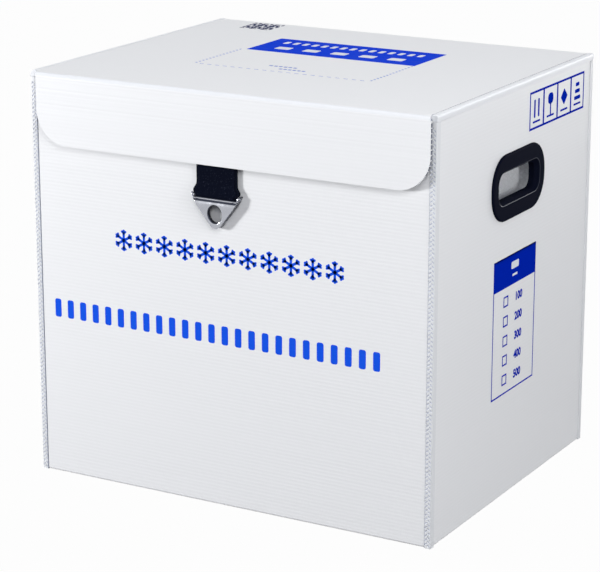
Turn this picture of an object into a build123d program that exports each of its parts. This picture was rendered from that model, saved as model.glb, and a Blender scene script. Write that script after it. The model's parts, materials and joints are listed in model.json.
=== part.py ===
"""Vaccine carrier: an insulated cooler in a hollow-board carton.

The carton is welded from twin-wall plastic board. Its lid and front flap are one
creased sheet, held shut by hook-and-loop tape, with a pull strap and a pressed steel
clasp at the flap's edge. Inside are a foam tub with vacuum panels, a liner, four
standing cold packs and a drop-in foam lid.

Frame: millimetres, +Z up, front towards -Y, origin at the bottom centre of the carton.
"""

import math
import os

from build123d import *

os.makedirs("parts", exist_ok=True)

# ---------------------------------------------------------------- driving sizes
# carton
width = 490.0  # left to right, over the side panels
depth = 394.0  # front to back, over the front and back panels
height = 458.0  # floor to the top of the closed lid
board = 5.0  # carton board thickness
lid_board = 4.0  # lid and flap board thickness
seam_width = 7.0  # welded strip at each upright corner
seam_proud = 0.6  # how far the strip stands out of the panels
seam_round = 2.4  # its outer edge
hem_height = 7.5  # folded top edge of each side panel
hem_proud = 1.0
hem_round = 2.6
bottom_inner_reach = 150.0  # how far each inner bottom flap reaches in

# lid and front flap
lid_side_gap = 0.5  # lid to hem
lid_rest_gap = 0.3  # lid to the panels' top edges
flap_drop = 78.5
flap_side_inset = 7.0  # half the carton's width less half the flap's
flap_x = 4.5  # flap's middle, off the carton's middle
flap_corner_radius = 38.0
flap_lid_gap = 0.3  # lid's front edge to the flap
tape_thickness = 2.1
tape_gap = 0.4  # hook tape to loop tape
tape_width = 50.0
tape_inner_x = 42.0  # from the flap's middle
tape_edge_inset = 27.5  # flap's side edge to the tape's end
tape_below_top = 16.0

# pull strap and clasp
strap_width = 50.0
strap_x = -8.0  # strap's middle, off the carton's middle
strap_thickness = 3.6  # two layers of webbing
strap_anchor_length = 46.0
strap_pivot_gap = 0.3
clasp_bar_radius = 1.5
clasp_bar_drop = 31.4  # strap pivot down to the bar
bar_loop_clearance = 0.08
loop_wall = 1.7  # webbing round the bar
panel_clearance = 0.3  # loop to the front panel
clasp_sheet = 1.2
clasp_front_gap = 0.4  # loop to the clasp's front plate
clasp_back_gap = 0.6  # clasp rim to the front panel
clasp_ear = 9.2  # how far the top corners stand out past the strap
clasp_shoulder_inset = 1.0  # strap's edge in to the shoulder
clasp_ear_round = 2.6
clasp_shoulder_round = 1.5
clasp_top_above_bar = 3.1
clasp_mouth_below_bar = 1.5
clasp_shoulder_below_bar = 7.5
clasp_tip_below_bar = 33.8
clasp_tip_radius = 8.6
clasp_eye_radius = 9.2
clasp_eye_collar = 1.5
clasp_eye_depth = 5.0
clasp_eye_above_tip = 15.6
clasp_mouth_side_gap = 0.8
bar_seat_clearance = 0.02

# carrying handles
handle_y = -0.5
handle_below_top = 107.5
handle_grip_width = 95.0  # the narrowest part of the hand hold
handle_grip_height = 30.0
handle_splay_x = 5.0  # how much the mouth widens on each side
handle_splay_z = 3.2
handle_border_x = 13.2  # flange beside the mouth
handle_border_z = 18.0
handle_flange = 2.6
handle_edge_round = 1.8
handle_funnel = 5.0
handle_end_flat = 4.5  # half the straight stretch at each end of the opening
handle_side_flat = 3.5  # the same on the flange
handle_sleeve_wall = 5.0
handle_sleeve_reach = 9.0  # panel face in to the sleeve's end
handle_fit = 0.3
clip_thickness = 3.8
clip_margin = 11.0
pocket_back = 23.0  # panel face in to the back of the finger pocket
pocket_margin = 4.0
pocket_radius = 14.0

# insulation
foam_gap = 0.5  # carton board to foam
foam_wall = 30.0
foam_floor = 30.0
foam_round = 8.0
foam_top_gap = 0.8  # foam rim to the closed lid
rebate_width = 5.5  # shelf round the vacuum panel pocket
rebate_depth = 31.2
vacuum_thickness = 20.0
vacuum_gap = 0.3
lid_vacuum_border = 20.0  # foam left round the foam lid's panel
liner_wall = 2.5
liner_floor = 3.0
liner_round = 10.0
liner_gap = 0.3
liner_flange = 2.5
retainer = 8.0  # square uprights that keep the cold packs at the walls

# cold packs
pack_thickness = 22.0
pack_headroom = 34.0  # cold packs to the foam lid's pan
pack_round = 4.0
pack_gap = 0.4
pack_notch_width = 34.0
pack_notch_depth = 18.0
pack_neck_radius = 6.0
pack_neck_height = 3.0
cap_radius = 9.0
cap_height = 10.0

# foam lid
foam_lid_gap = 1.0  # to the rebate
plug_gap = 1.0  # to the liner
plug_depth = 30.0
seal_thickness = 3.0
seal_rest = 0.3
seal_width = 14.0
pan_thickness = 2.0
groove_x = 110.0
groove_width = 36.0
groove_length = 110.0
groove_depth = 19.0
loop_webbing_width = 25.0
loop_webbing_length = 150.0
loop_webbing_thickness = 2.0
loop_recess = 0.3

# ---------------------------------------------------------------- worked out
half_width = width / 2
half_depth = depth / 2
seam_inner_x = half_width - seam_width
seam_inner_y = half_depth - seam_width
hem_bottom = height - hem_height
hem_inner_x = half_width - board - lid_side_gap
lid_half_width = hem_inner_x - lid_side_gap
flap_half_width = half_width - flap_side_inset
tape_outer_x = flap_half_width - tape_edge_inset
tape_top = height - tape_below_top
lid_bottom = height - lid_board
panel_top = lid_bottom - lid_rest_gap
flap_inner = half_depth + 2 * tape_thickness + tape_gap
flap_outer = flap_inner + lid_board
flap_bottom = height - flap_drop

strap_front = flap_inner
strap_back = flap_inner - strap_thickness
strap_middle = (strap_front + strap_back) / 2
pivot_z = flap_bottom - strap_thickness / 2 - strap_pivot_gap
bar_z = pivot_z - clasp_bar_drop
loop_radius = clasp_bar_radius + bar_loop_clearance + loop_wall
bar_y = half_depth + panel_clearance + loop_radius
clasp_back = half_depth + clasp_back_gap
clasp_front = bar_y + loop_radius + clasp_front_gap + clasp_sheet
clasp_tip_z = bar_z - clasp_tip_below_bar
clasp_top = bar_z + clasp_top_above_bar
clasp_shoulder = bar_z - clasp_shoulder_below_bar
clasp_top_half_width = strap_width / 2 + clasp_ear
clasp_shoulder_half_width = strap_width / 2 - clasp_shoulder_inset
clasp_slope = (clasp_top_half_width - clasp_shoulder_half_width) / (clasp_top - clasp_shoulder)
eye_z = clasp_tip_z + clasp_eye_above_tip

handle_z = height - handle_below_top
handle_mouth_width = handle_grip_width + 2 * handle_splay_x
handle_mouth_height = handle_grip_height + 2 * handle_splay_z
handle_width = handle_mouth_width + 2 * handle_border_x
handle_height = handle_mouth_height + 2 * handle_border_z
handle_radius = handle_height / 2 - handle_side_flat
grip_radius = handle_grip_height / 2 - handle_end_flat
mouth_radius = handle_mouth_height / 2 - handle_end_flat
sleeve_width = handle_grip_width + 2 * handle_sleeve_wall
sleeve_height = handle_grip_height + 2 * handle_sleeve_wall
sleeve_radius = grip_radius + handle_sleeve_wall
clip_width = sleeve_width + 2 * clip_margin
clip_height = sleeve_height + 2 * clip_margin
clip_radius = sleeve_radius + clip_margin

foam_half_x = half_width - board - foam_gap
foam_half_y = half_depth - board - foam_gap
foam_bottom = 2 * board
foam_top = lid_bottom - foam_top_gap
core_half_x = foam_half_x - foam_wall
core_half_y = foam_half_y - foam_wall
core_floor = foam_bottom + foam_floor
rebate_half_x = core_half_x + rebate_width
rebate_half_y = core_half_y + rebate_width
shelf_z = foam_top - rebate_depth
wall_panel_bottom = core_floor + vacuum_thickness + vacuum_gap
wall_panel_top = shelf_z - vacuum_gap
liner_half_x = core_half_x - vacuum_thickness - 2 * vacuum_gap
liner_half_y = core_half_y - vacuum_thickness - 2 * vacuum_gap
inner_half_x = liner_half_x - liner_wall
inner_half_y = liner_half_y - liner_wall
liner_bottom = core_floor + vacuum_thickness + liner_gap
payload_floor = liner_bottom + liner_floor
flange_top = shelf_z + liner_flange

foam_lid_half_x = rebate_half_x - foam_lid_gap
foam_lid_half_y = rebate_half_y - foam_lid_gap
step_z = flange_top + seal_rest + seal_thickness
plug_half_x = inner_half_x - plug_gap
plug_half_y = inner_half_y - plug_gap
pan_bottom = step_z - plug_depth
pan_top = pan_bottom + pan_thickness
lid_vacuum_half_x = plug_half_x - lid_vacuum_border
lid_vacuum_half_y = plug_half_y - lid_vacuum_border
loop_seat_half_width = loop_webbing_width / 2 + loop_recess

pack_floor = payload_floor + pack_gap
pack_top = pan_bottom - pack_headroom
pack_height = pack_top - pack_floor
pack_reach = pack_gap + pack_thickness  # liner wall to the pack's inner face
corner_x = inner_half_x - pack_reach - pack_gap  # outer faces of the uprights
corner_y = inner_half_y - pack_reach - pack_gap


def block(x_span, y_span, z_span, mode=Mode.ADD):
    """Add a box between two limits on each axis to the part being built."""
    spans = (x_span, y_span, z_span)
    with Locations(tuple(sum(span) / 2 for span in spans)):
        Box(*(abs(span[1] - span[0]) for span in spans), mode=mode)


def save(builder, node):
    """Label a finished piece and write it as its own file."""
    builder.part.label = node
    export_step(builder.part, f"parts/{node}.step")


def side_plane(side, from_middle):
    """Plane parallel to a side panel, facing out, centred on its handle."""
    return Plane(origin=(side * from_middle, handle_y, handle_z), x_dir=(0, side, 0), z_dir=(side, 0, 0))


def wall_plane(normal, distance, z):
    """Upright plane at a distance from the middle, facing back to the middle."""
    outward = Vector(*normal)
    origin = outward * distance + Vector(0, 0, z)
    return Plane(origin=origin, x_dir=(normal[1], -normal[0], 0), z_dir=outward * -1)


def sleeve_hole(mode=Mode.ADD):
    """Add or cut the outline of the hole that a handle's sleeve passes through."""
    RectangleRounded(
        sleeve_width + 2 * handle_fit,
        sleeve_height + 2 * handle_fit,
        sleeve_radius + handle_fit,
        mode=mode,
    )


sides = {"left": -1, "right": 1}
ends = {"front": -1, "back": 1}

# ---------------------------------------------------------------- carton walls
for end_name, end in ends.items():
    with BuildPart() as end_panel:
        block(
            (-seam_inner_x, seam_inner_x),
            (end * (half_depth - board), end * half_depth),
            (0, panel_top),
        )
    save(end_panel, f"{end_name}_panel")

for side_name, side in sides.items():
    with BuildPart() as side_panel:
        block(
            (side * (half_width - board), side * half_width),
            (-seam_inner_y, seam_inner_y),
            (0, hem_bottom),
        )
        with BuildSketch(side_plane(side, half_width)):
            sleeve_hole()
        extrude(amount=-board, mode=Mode.SUBTRACT)
    save(side_panel, f"{side_name}_panel")

# folded edge along the top of each side panel, over the corner strips too
for side_name, side in sides.items():
    with BuildPart() as hem:
        block(
            (side * hem_inner_x, side * (half_width + hem_proud)),
            (-half_depth - seam_proud, half_depth + seam_proud),
            (hem_bottom, height),
        )
        fillet(hem.edges().filter_by(Axis.Y).group_by(Axis.Z)[-1], radius=hem_round)
    save(hem, f"{side_name}_top_hem")

# welded strip at each upright corner
for end_name, end in ends.items():
    for side_name, side in sides.items():
        with BuildPart() as seam:
            block(
                (side * seam_inner_x, side * (half_width + seam_proud)),
                (end * seam_inner_y, end * (half_depth + seam_proud)),
                (0, hem_bottom),
            )
            outer_edge = seam.edges().filter_by(Axis.Z).sort_by(
                lambda edge: side * edge.center().X + end * edge.center().Y
            )[-1]
            fillet(outer_edge, radius=seam_round)
        save(seam, f"corner_seam_{end_name}_{side_name}")

# bottom: two outer flaps that meet in the middle, two inner flaps across them
for end_name, end in ends.items():
    with BuildPart() as outer_flap:
        block(
            (-seam_inner_x, seam_inner_x),
            (0, end * (half_depth - board)),
            (0, board),
        )
    save(outer_flap, f"bottom_flap_{end_name}")

for side_name, side in sides.items():
    with BuildPart() as inner_flap:
        block(
            (side * (seam_inner_x - bottom_inner_reach), side * seam_inner_x),
            (-seam_inner_y, seam_inner_y),
            (board, 2 * board),
        )
    save(inner_flap, f"bottom_flap_{side_name}")

# ---------------------------------------------------------------- carrying handles
for side_name, side in sides.items():
    with BuildPart() as frame:
        with BuildSketch(side_plane(side, half_width)):
            RectangleRounded(handle_width, handle_height, handle_radius)
        extrude(amount=handle_flange)
        with BuildSketch(side_plane(side, half_width)):
            RectangleRounded(sleeve_width, sleeve_height, sleeve_radius)
        extrude(amount=-handle_sleeve_reach)
        outer_face = frame.faces().sort_by(Axis((0, 0, 0), (side, 0, 0)))[-1]
        fillet(outer_face.outer_wire().edges(), radius=handle_edge_round)
        with BuildSketch(side_plane(side, half_width + handle_flange)):
            RectangleRounded(handle_grip_width, handle_grip_height, grip_radius)
        extrude(amount=-handle_flange - handle_sleeve_reach, mode=Mode.SUBTRACT)
        with BuildSketch(side_plane(side, half_width + handle_flange)):
            RectangleRounded(handle_mouth_width, handle_mouth_height, mouth_radius)
        with BuildSketch(side_plane(side, half_width + handle_flange - handle_funnel)):
            RectangleRounded(handle_grip_width, handle_grip_height, grip_radius)
        loft(mode=Mode.SUBTRACT)
    save(frame, f"{side_name}_handle_frame")

    with BuildPart() as clip:
        with BuildSketch(side_plane(side, half_width - board)):
            RectangleRounded(clip_width, clip_height, clip_radius)
            sleeve_hole(Mode.SUBTRACT)
        extrude(amount=-clip_thickness)
    save(clip, f"{side_name}_handle_clip")

# ---------------------------------------------------------------- hook-and-loop tape
for side_name, side in sides.items():
    span_x = (flap_x + side * tape_inner_x, flap_x + side * tape_outer_x)
    span_z = (tape_top - tape_width, tape_top)
    with BuildPart() as loop_tape:
        block(span_x, (-half_depth - tape_thickness, -half_depth), span_z)
    save(loop_tape, f"loop_tape_{side_name}")
    with BuildPart() as hook_tape:
        block(span_x, (-flap_inner, -flap_inner + tape_thickness), span_z)
    save(hook_tape, f"hook_tape_{side_name}")

# ---------------------------------------------------------------- lid and front flap
with BuildPart() as lid_panel:
    block(
        (-lid_half_width, lid_half_width),
        (-flap_inner + flap_lid_gap, half_depth),
        (lid_bottom, height),
    )
save(lid_panel, "lid_panel")

with BuildPart() as flap_panel:
    with BuildSketch(Plane.XZ.offset(flap_inner)) as flap_outline:
        with Locations((flap_x, height - flap_drop / 2)):
            Rectangle(2 * flap_half_width, flap_drop)
        fillet(flap_outline.vertices().group_by(Axis.Y)[0], radius=flap_corner_radius)
    extrude(amount=lid_board)
save(flap_panel, "flap_panel")

with BuildPart() as strap_anchor:
    block(
        (strap_x - strap_width / 2, strap_x + strap_width / 2),
        (-strap_front, -strap_back),
        (flap_bottom, flap_bottom + strap_anchor_length),
    )
save(strap_anchor, "strap_anchor")

# ---------------------------------------------------------------- pull strap
# sketched on a plane square to X: local x is -Y, local y is +Z
strap_plane = Plane(origin=(strap_x + strap_width / 2, 0, 0), x_dir=(0, -1, 0), z_dir=(-1, 0, 0))
with BuildPart() as strap:
    with BuildSketch(strap_plane):
        with Locations((strap_middle, (pivot_z + bar_z) / 2)):
            Rectangle(strap_thickness, pivot_z - bar_z)
        with Locations((strap_middle, pivot_z)):
            Circle(strap_thickness / 2)
        with Locations((bar_y, bar_z)):
            Circle(loop_radius)
            Circle(clasp_bar_radius + bar_loop_clearance, mode=Mode.SUBTRACT)
    extrude(amount=strap_width)
save(strap, "strap")

# ---------------------------------------------------------------- clasp
def clasp_plane(from_middle):
    """Plane parallel to the front panel, facing out, with x from the clasp's middle."""
    return Plane(origin=(strap_x, -from_middle, 0), x_dir=(1, 0, 0), z_dir=(0, -1, 0))


def clasp_outline(outline, inset=0.0):
    """Draw the clasp's outline: a wide top, shoulders and sides tangent to a round tip."""
    tip_centre = clasp_tip_z + clasp_tip_radius
    rise = clasp_shoulder - tip_centre
    tangent_angle = math.atan2(rise, clasp_shoulder_half_width) - math.acos(
        clasp_tip_radius / math.hypot(rise, clasp_shoulder_half_width)
    )
    tangent_x = clasp_tip_radius * math.cos(tangent_angle)
    tangent_z = tip_centre + clasp_tip_radius * math.sin(tangent_angle)
    Polygon(
        (-clasp_top_half_width, clasp_top),
        (clasp_top_half_width, clasp_top),
        (clasp_shoulder_half_width, clasp_shoulder),
        (tangent_x, tangent_z),
        (-tangent_x, tangent_z),
        (-clasp_shoulder_half_width, clasp_shoulder),
        align=None,
    )
    fillet(outline.vertices().group_by(Axis.Y)[-1], radius=clasp_ear_round)
    fillet(outline.vertices().group_by(Axis.Y)[1], radius=clasp_shoulder_round)
    with Locations((0, tip_centre)):
        Circle(clasp_tip_radius)
    if inset:
        offset(amount=-inset, mode=Mode.REPLACE)


with BuildPart() as clasp_plate:
    with BuildSketch(clasp_plane(clasp_back)) as outer_outline:
        clasp_outline(outer_outline)
    extrude(amount=clasp_front - clasp_back)
    with BuildSketch(clasp_plane(clasp_back)) as inner_outline:
        clasp_outline(inner_outline, clasp_sheet)
    extrude(amount=clasp_front - clasp_back - clasp_sheet, mode=Mode.SUBTRACT)
    # the mouth that the strap enters by
    mouth_half = strap_width / 2 + clasp_mouth_side_gap
    block(
        (strap_x - mouth_half, strap_x + mouth_half),
        (-clasp_front, -clasp_back),
        (bar_z - clasp_mouth_below_bar, clasp_top),
        mode=Mode.SUBTRACT,
    )
    # the drawn eye
    with BuildSketch(clasp_plane(clasp_front)):
        with Locations((0, eye_z)):
            Circle(clasp_eye_radius + clasp_eye_collar)
    extrude(amount=-clasp_eye_depth)
    with BuildSketch(clasp_plane(clasp_front)):
        with Locations((0, eye_z)):
            Circle(clasp_eye_radius)
    extrude(amount=-clasp_eye_depth, mode=Mode.SUBTRACT)
    # ears rounded about the bar behind it, so that they clear the carton as they turn
    with BuildSketch(Plane.YZ.offset(strap_x - clasp_top_half_width)):
        with Locations((-bar_y + clasp_top_above_bar, bar_z + clasp_top_above_bar)):
            Rectangle(2 * clasp_top_above_bar, 2 * clasp_top_above_bar)
        with Locations((-bar_y, bar_z)):
            Circle(clasp_top_above_bar, mode=Mode.SUBTRACT)
    extrude(amount=2 * clasp_top_half_width, mode=Mode.SUBTRACT)
    with BuildSketch(Plane.YZ.offset(strap_x - clasp_top_half_width)):
        with Locations((-bar_y, bar_z)):
            Circle(clasp_bar_radius + bar_seat_clearance)
    extrude(amount=2 * clasp_top_half_width, mode=Mode.SUBTRACT)
save(clasp_plate, "clasp_plate")

bar_inset = clasp_slope * (clasp_top_above_bar + clasp_bar_radius) + clasp_sheet / 2
bar_half_length = clasp_top_half_width - bar_inset
with BuildPart() as clasp_bar:
    with BuildSketch(Plane.YZ.offset(strap_x - bar_half_length)):
        with Locations((-bar_y, bar_z)):
            Circle(clasp_bar_radius)
    extrude(amount=2 * bar_half_length)
save(clasp_bar, "clasp_bar")

# ---------------------------------------------------------------- foam tub
with BuildPart() as foam_tub:
    with BuildSketch(Plane.XY.offset(foam_bottom)):
        RectangleRounded(2 * foam_half_x, 2 * foam_half_y, foam_round)
    extrude(amount=foam_top - foam_bottom)
    block(
        (-core_half_x, core_half_x),
        (-core_half_y, core_half_y),
        (core_floor, shelf_z),
        Mode.SUBTRACT,
    )
    with BuildSketch(Plane.XY.offset(shelf_z)):
        RectangleRounded(2 * rebate_half_x, 2 * rebate_half_y, liner_round)
    extrude(amount=rebate_depth, mode=Mode.SUBTRACT)
    for side in sides.values():
        with BuildSketch(side_plane(side, foam_half_x)):
            RectangleRounded(
                clip_width + 2 * handle_fit, clip_height + 2 * handle_fit, clip_radius + handle_fit
            )
        extrude(amount=-(clip_thickness + handle_fit - foam_gap), mode=Mode.SUBTRACT)
        with BuildSketch(side_plane(side, foam_half_x)):
            RectangleRounded(
                sleeve_width + 2 * pocket_margin, sleeve_height + 2 * pocket_margin, pocket_radius
            )
        extrude(amount=-(pocket_back - board - foam_gap), mode=Mode.SUBTRACT)
save(foam_tub, "foam_tub")

# ---------------------------------------------------------------- vacuum panels
with BuildPart() as bottom_vacuum:
    block(
        (-core_half_x + vacuum_gap, core_half_x - vacuum_gap),
        (-core_half_y + vacuum_gap, core_half_y - vacuum_gap),
        (core_floor, core_floor + vacuum_thickness),
    )
save(bottom_vacuum, "vacuum_panel_bottom")

for side_name, side in sides.items():
    with BuildPart() as side_vacuum:
        block(
            (side * (core_half_x - vacuum_gap - vacuum_thickness), side * (core_half_x - vacuum_gap)),
            (-core_half_y + vacuum_gap, core_half_y - vacuum_gap),
            (wall_panel_bottom, wall_panel_top),
        )
    save(side_vacuum, f"vacuum_panel_{side_name}")

for end_name, end in ends.items():
    with BuildPart() as end_vacuum:
        block(
            (-liner_half_x, liner_half_x),
            (end * (core_half_y - vacuum_gap - vacuum_thickness), end * (core_half_y - vacuum_gap)),
            (wall_panel_bottom, wall_panel_top),
        )
    save(end_vacuum, f"vacuum_panel_{end_name}")

# ---------------------------------------------------------------- liner
with BuildPart() as inner_liner:
    with BuildSketch(Plane.XY.offset(liner_bottom)):
        RectangleRounded(2 * liner_half_x, 2 * liner_half_y, liner_round + liner_wall)
    extrude(amount=flange_top - liner_bottom)
    with BuildSketch(Plane.XY.offset(shelf_z)):
        RectangleRounded(
            2 * (rebate_half_x - liner_gap), 2 * (rebate_half_y - liner_gap), liner_round - liner_gap
        )
    extrude(amount=liner_flange)
    with BuildSketch(Plane.XY.offset(payload_floor)):
        RectangleRounded(2 * inner_half_x, 2 * inner_half_y, liner_round)
    extrude(amount=flange_top - payload_floor, mode=Mode.SUBTRACT)
    # uprights that hold the cold packs against the walls
    for side in sides.values():
        for end in ends.values():
            block(
                (side * (corner_x - retainer), side * corner_x),
                (end * (corner_y - retainer), end * corner_y),
                (payload_floor, pack_top - pack_gap),
            )
save(inner_liner, "inner_liner")

# ---------------------------------------------------------------- cold packs and caps
end_pack_width = 2 * corner_x
side_pack_width = 2 * (inner_half_y - liner_round)
pack_walls = {
    "front": ((0, -1), inner_half_y, end_pack_width),
    "back": ((0, 1), inner_half_y, end_pack_width),
    "left": ((-1, 0), inner_half_x, side_pack_width),
    "right": ((1, 0), inner_half_x, side_pack_width),
}


def pack_face(wall_name):
    """Plane of a cold pack's outer face, centred on the pack and facing inwards."""
    normal, wall_distance, _ = pack_walls[wall_name]
    return wall_plane(normal, wall_distance - pack_gap, (pack_floor + pack_top) / 2)


def neck_plane(wall_name, rise):
    """Level plane over a pack's filler neck, at a height above the notch's floor."""
    neck_x = (pack_walls[wall_name][2] - pack_notch_width) / 2
    neck_z = pack_height / 2 - pack_notch_depth
    return Plane(origin=pack_face(wall_name).from_local_coords((neck_x, neck_z + rise, pack_thickness / 2)))


for wall_name, (_, _, pack_width) in pack_walls.items():
    with BuildPart() as cold_pack:
        with BuildSketch(pack_face(wall_name)):
            RectangleRounded(pack_width, pack_height, pack_round)
            with Locations(((pack_width - pack_notch_width) / 2, (pack_height - pack_notch_depth) / 2)):
                Rectangle(pack_notch_width, pack_notch_depth, mode=Mode.SUBTRACT)
        extrude(amount=pack_thickness)
        with BuildSketch(neck_plane(wall_name, 0)):
            Circle(pack_neck_radius)
        extrude(amount=pack_neck_height)
    save(cold_pack, f"cold_pack_{wall_name}")

with BuildPart() as caps:
    for wall_name in pack_walls:
        with BuildSketch(neck_plane(wall_name, pack_neck_height)):
            Circle(cap_radius)
        extrude(amount=cap_height)
save(caps, "cold_pack_caps")

# ---------------------------------------------------------------- foam lid
with BuildPart() as foam_lid:
    with BuildSketch(Plane.XY.offset(step_z)):
        RectangleRounded(2 * foam_lid_half_x, 2 * foam_lid_half_y, liner_round - foam_lid_gap)
    extrude(amount=foam_top - step_z)
    with BuildSketch(Plane.XY.offset(pan_top)):
        RectangleRounded(2 * plug_half_x, 2 * plug_half_y, liner_round - plug_gap)
    extrude(amount=step_z - pan_top)
    block(
        (-lid_vacuum_half_x - vacuum_gap, lid_vacuum_half_x + vacuum_gap),
        (-lid_vacuum_half_y - vacuum_gap, lid_vacuum_half_y + vacuum_gap),
        (pan_top, pan_top + vacuum_thickness + vacuum_gap),
        Mode.SUBTRACT,
    )
    for side in sides.values():
        block(
            (side * (groove_x - groove_width / 2), side * (groove_x + groove_width / 2)),
            (-groove_length / 2, groove_length / 2),
            (foam_top - groove_depth, foam_top),
            Mode.SUBTRACT,
        )
        block(
            (side * (groove_x - loop_seat_half_width), side * (groove_x + loop_seat_half_width)),
            (-loop_webbing_length / 2 - loop_recess, loop_webbing_length / 2 + loop_recess),
            (foam_top - loop_webbing_thickness - loop_recess, foam_top),
            Mode.SUBTRACT,
        )
save(foam_lid, "foam_lid")

with BuildPart() as foam_lid_vacuum:
    block(
        (-lid_vacuum_half_x, lid_vacuum_half_x),
        (-lid_vacuum_half_y, lid_vacuum_half_y),
        (pan_top, pan_top + vacuum_thickness),
    )
save(foam_lid_vacuum, "foam_lid_vacuum_panel")

with BuildPart() as foam_lid_pan:
    with BuildSketch(Plane.XY.offset(pan_bottom)):
        RectangleRounded(2 * plug_half_x, 2 * plug_half_y, liner_round - plug_gap)
    extrude(amount=pan_thickness)
save(foam_lid_pan, "foam_lid_pan")

with BuildPart() as foam_lid_seal:
    with BuildSketch(Plane.XY.offset(step_z - seal_thickness)):
        RectangleRounded(
            2 * (plug_half_x + seal_width), 2 * (plug_half_y + seal_width), liner_round + seal_width / 2
        )
        RectangleRounded(
            2 * plug_half_x + plug_gap, 2 * plug_half_y + plug_gap, liner_round, mode=Mode.SUBTRACT
        )
    extrude(amount=seal_thickness)
save(foam_lid_seal, "foam_lid_seal")

for side_name, side in sides.items():
    with BuildPart() as pull_loop:
        block(
            (side * (groove_x - loop_webbing_width / 2), side * (groove_x + loop_webbing_width / 2)),
            (-loop_webbing_length / 2, loop_webbing_length / 2),
            (foam_top - loop_recess - loop_webbing_thickness, foam_top - loop_recess),
        )
    save(pull_loop, f"pull_loop_{side_name}")
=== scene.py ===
"""Vaccine carrier: finished surfaces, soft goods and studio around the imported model.

The carton is twin-wall plastic board, the strap is black webbing, the clasp is pressed
steel. Everything is in metres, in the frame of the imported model: +Z up, front to -Y.
"""

from __future__ import annotations

import json
import logging
import math
from dataclasses import dataclass
from enum import Enum
from typing import Iterable, Sequence

import bmesh
import bpy
from mathutils import Matrix, Vector


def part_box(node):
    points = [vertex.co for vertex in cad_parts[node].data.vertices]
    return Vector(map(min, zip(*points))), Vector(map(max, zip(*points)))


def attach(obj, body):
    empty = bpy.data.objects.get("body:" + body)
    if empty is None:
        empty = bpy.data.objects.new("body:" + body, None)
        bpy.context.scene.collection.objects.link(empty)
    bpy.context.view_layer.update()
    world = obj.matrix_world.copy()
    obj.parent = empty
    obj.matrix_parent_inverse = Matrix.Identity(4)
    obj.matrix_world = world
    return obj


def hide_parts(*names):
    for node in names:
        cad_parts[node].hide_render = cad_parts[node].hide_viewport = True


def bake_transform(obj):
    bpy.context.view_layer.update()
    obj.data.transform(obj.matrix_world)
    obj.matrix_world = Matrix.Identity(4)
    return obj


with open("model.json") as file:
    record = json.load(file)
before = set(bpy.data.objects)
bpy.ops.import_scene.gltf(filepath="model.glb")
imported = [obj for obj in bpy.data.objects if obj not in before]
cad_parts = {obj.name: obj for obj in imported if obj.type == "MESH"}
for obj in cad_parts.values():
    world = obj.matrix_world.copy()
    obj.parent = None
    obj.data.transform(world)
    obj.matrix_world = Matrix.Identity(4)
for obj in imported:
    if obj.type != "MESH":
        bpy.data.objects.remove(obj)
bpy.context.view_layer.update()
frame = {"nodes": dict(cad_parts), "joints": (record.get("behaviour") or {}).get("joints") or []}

log = logging.getLogger("carrier")

MM = 0.001
TOUCH = 1e-6
Point = tuple[float, float, float]
Edges = tuple[float, float, float, float]
Socket = bpy.types.NodeSocket
Vert = bmesh.types.BMVert
Edge = bmesh.types.BMEdge
Face = bmesh.types.BMFace


def mm(*lengths: float) -> tuple[float, ...]:
    """Lengths given in millimetres, in metres."""
    return tuple(length * MM for length in lengths)


class Axis(Enum):
    """A direction of the frame, by its place in a coordinate."""

    X = 0
    Y = 1
    Z = 2

    def vector(self, length: float = 1.0) -> Vector:
        """A vector along the axis, of a signed length."""
        return Vector([length if axis is self else 0.0 for axis in Axis])


class Named(Enum):
    """A choice whose name is part of node and piece names."""

    @property
    def word(self) -> str:
        """Its name in small letters."""
        return self.name.lower()


class Side(Named):
    """The two handle sides of the carton."""

    LEFT = -1
    RIGHT = 1


class End(Named):
    """The carton's front and back."""

    FRONT = -1
    BACK = 1


def linear(*display: int) -> Point:
    """Turn 8-bit display red, green and blue into the shader's linear colour."""
    shares = [value / 255 for value in display]
    return tuple(s / 12.92 if s <= 0.04045 else ((s + 0.055) / 1.055) ** 2.4 for s in shares)


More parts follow.
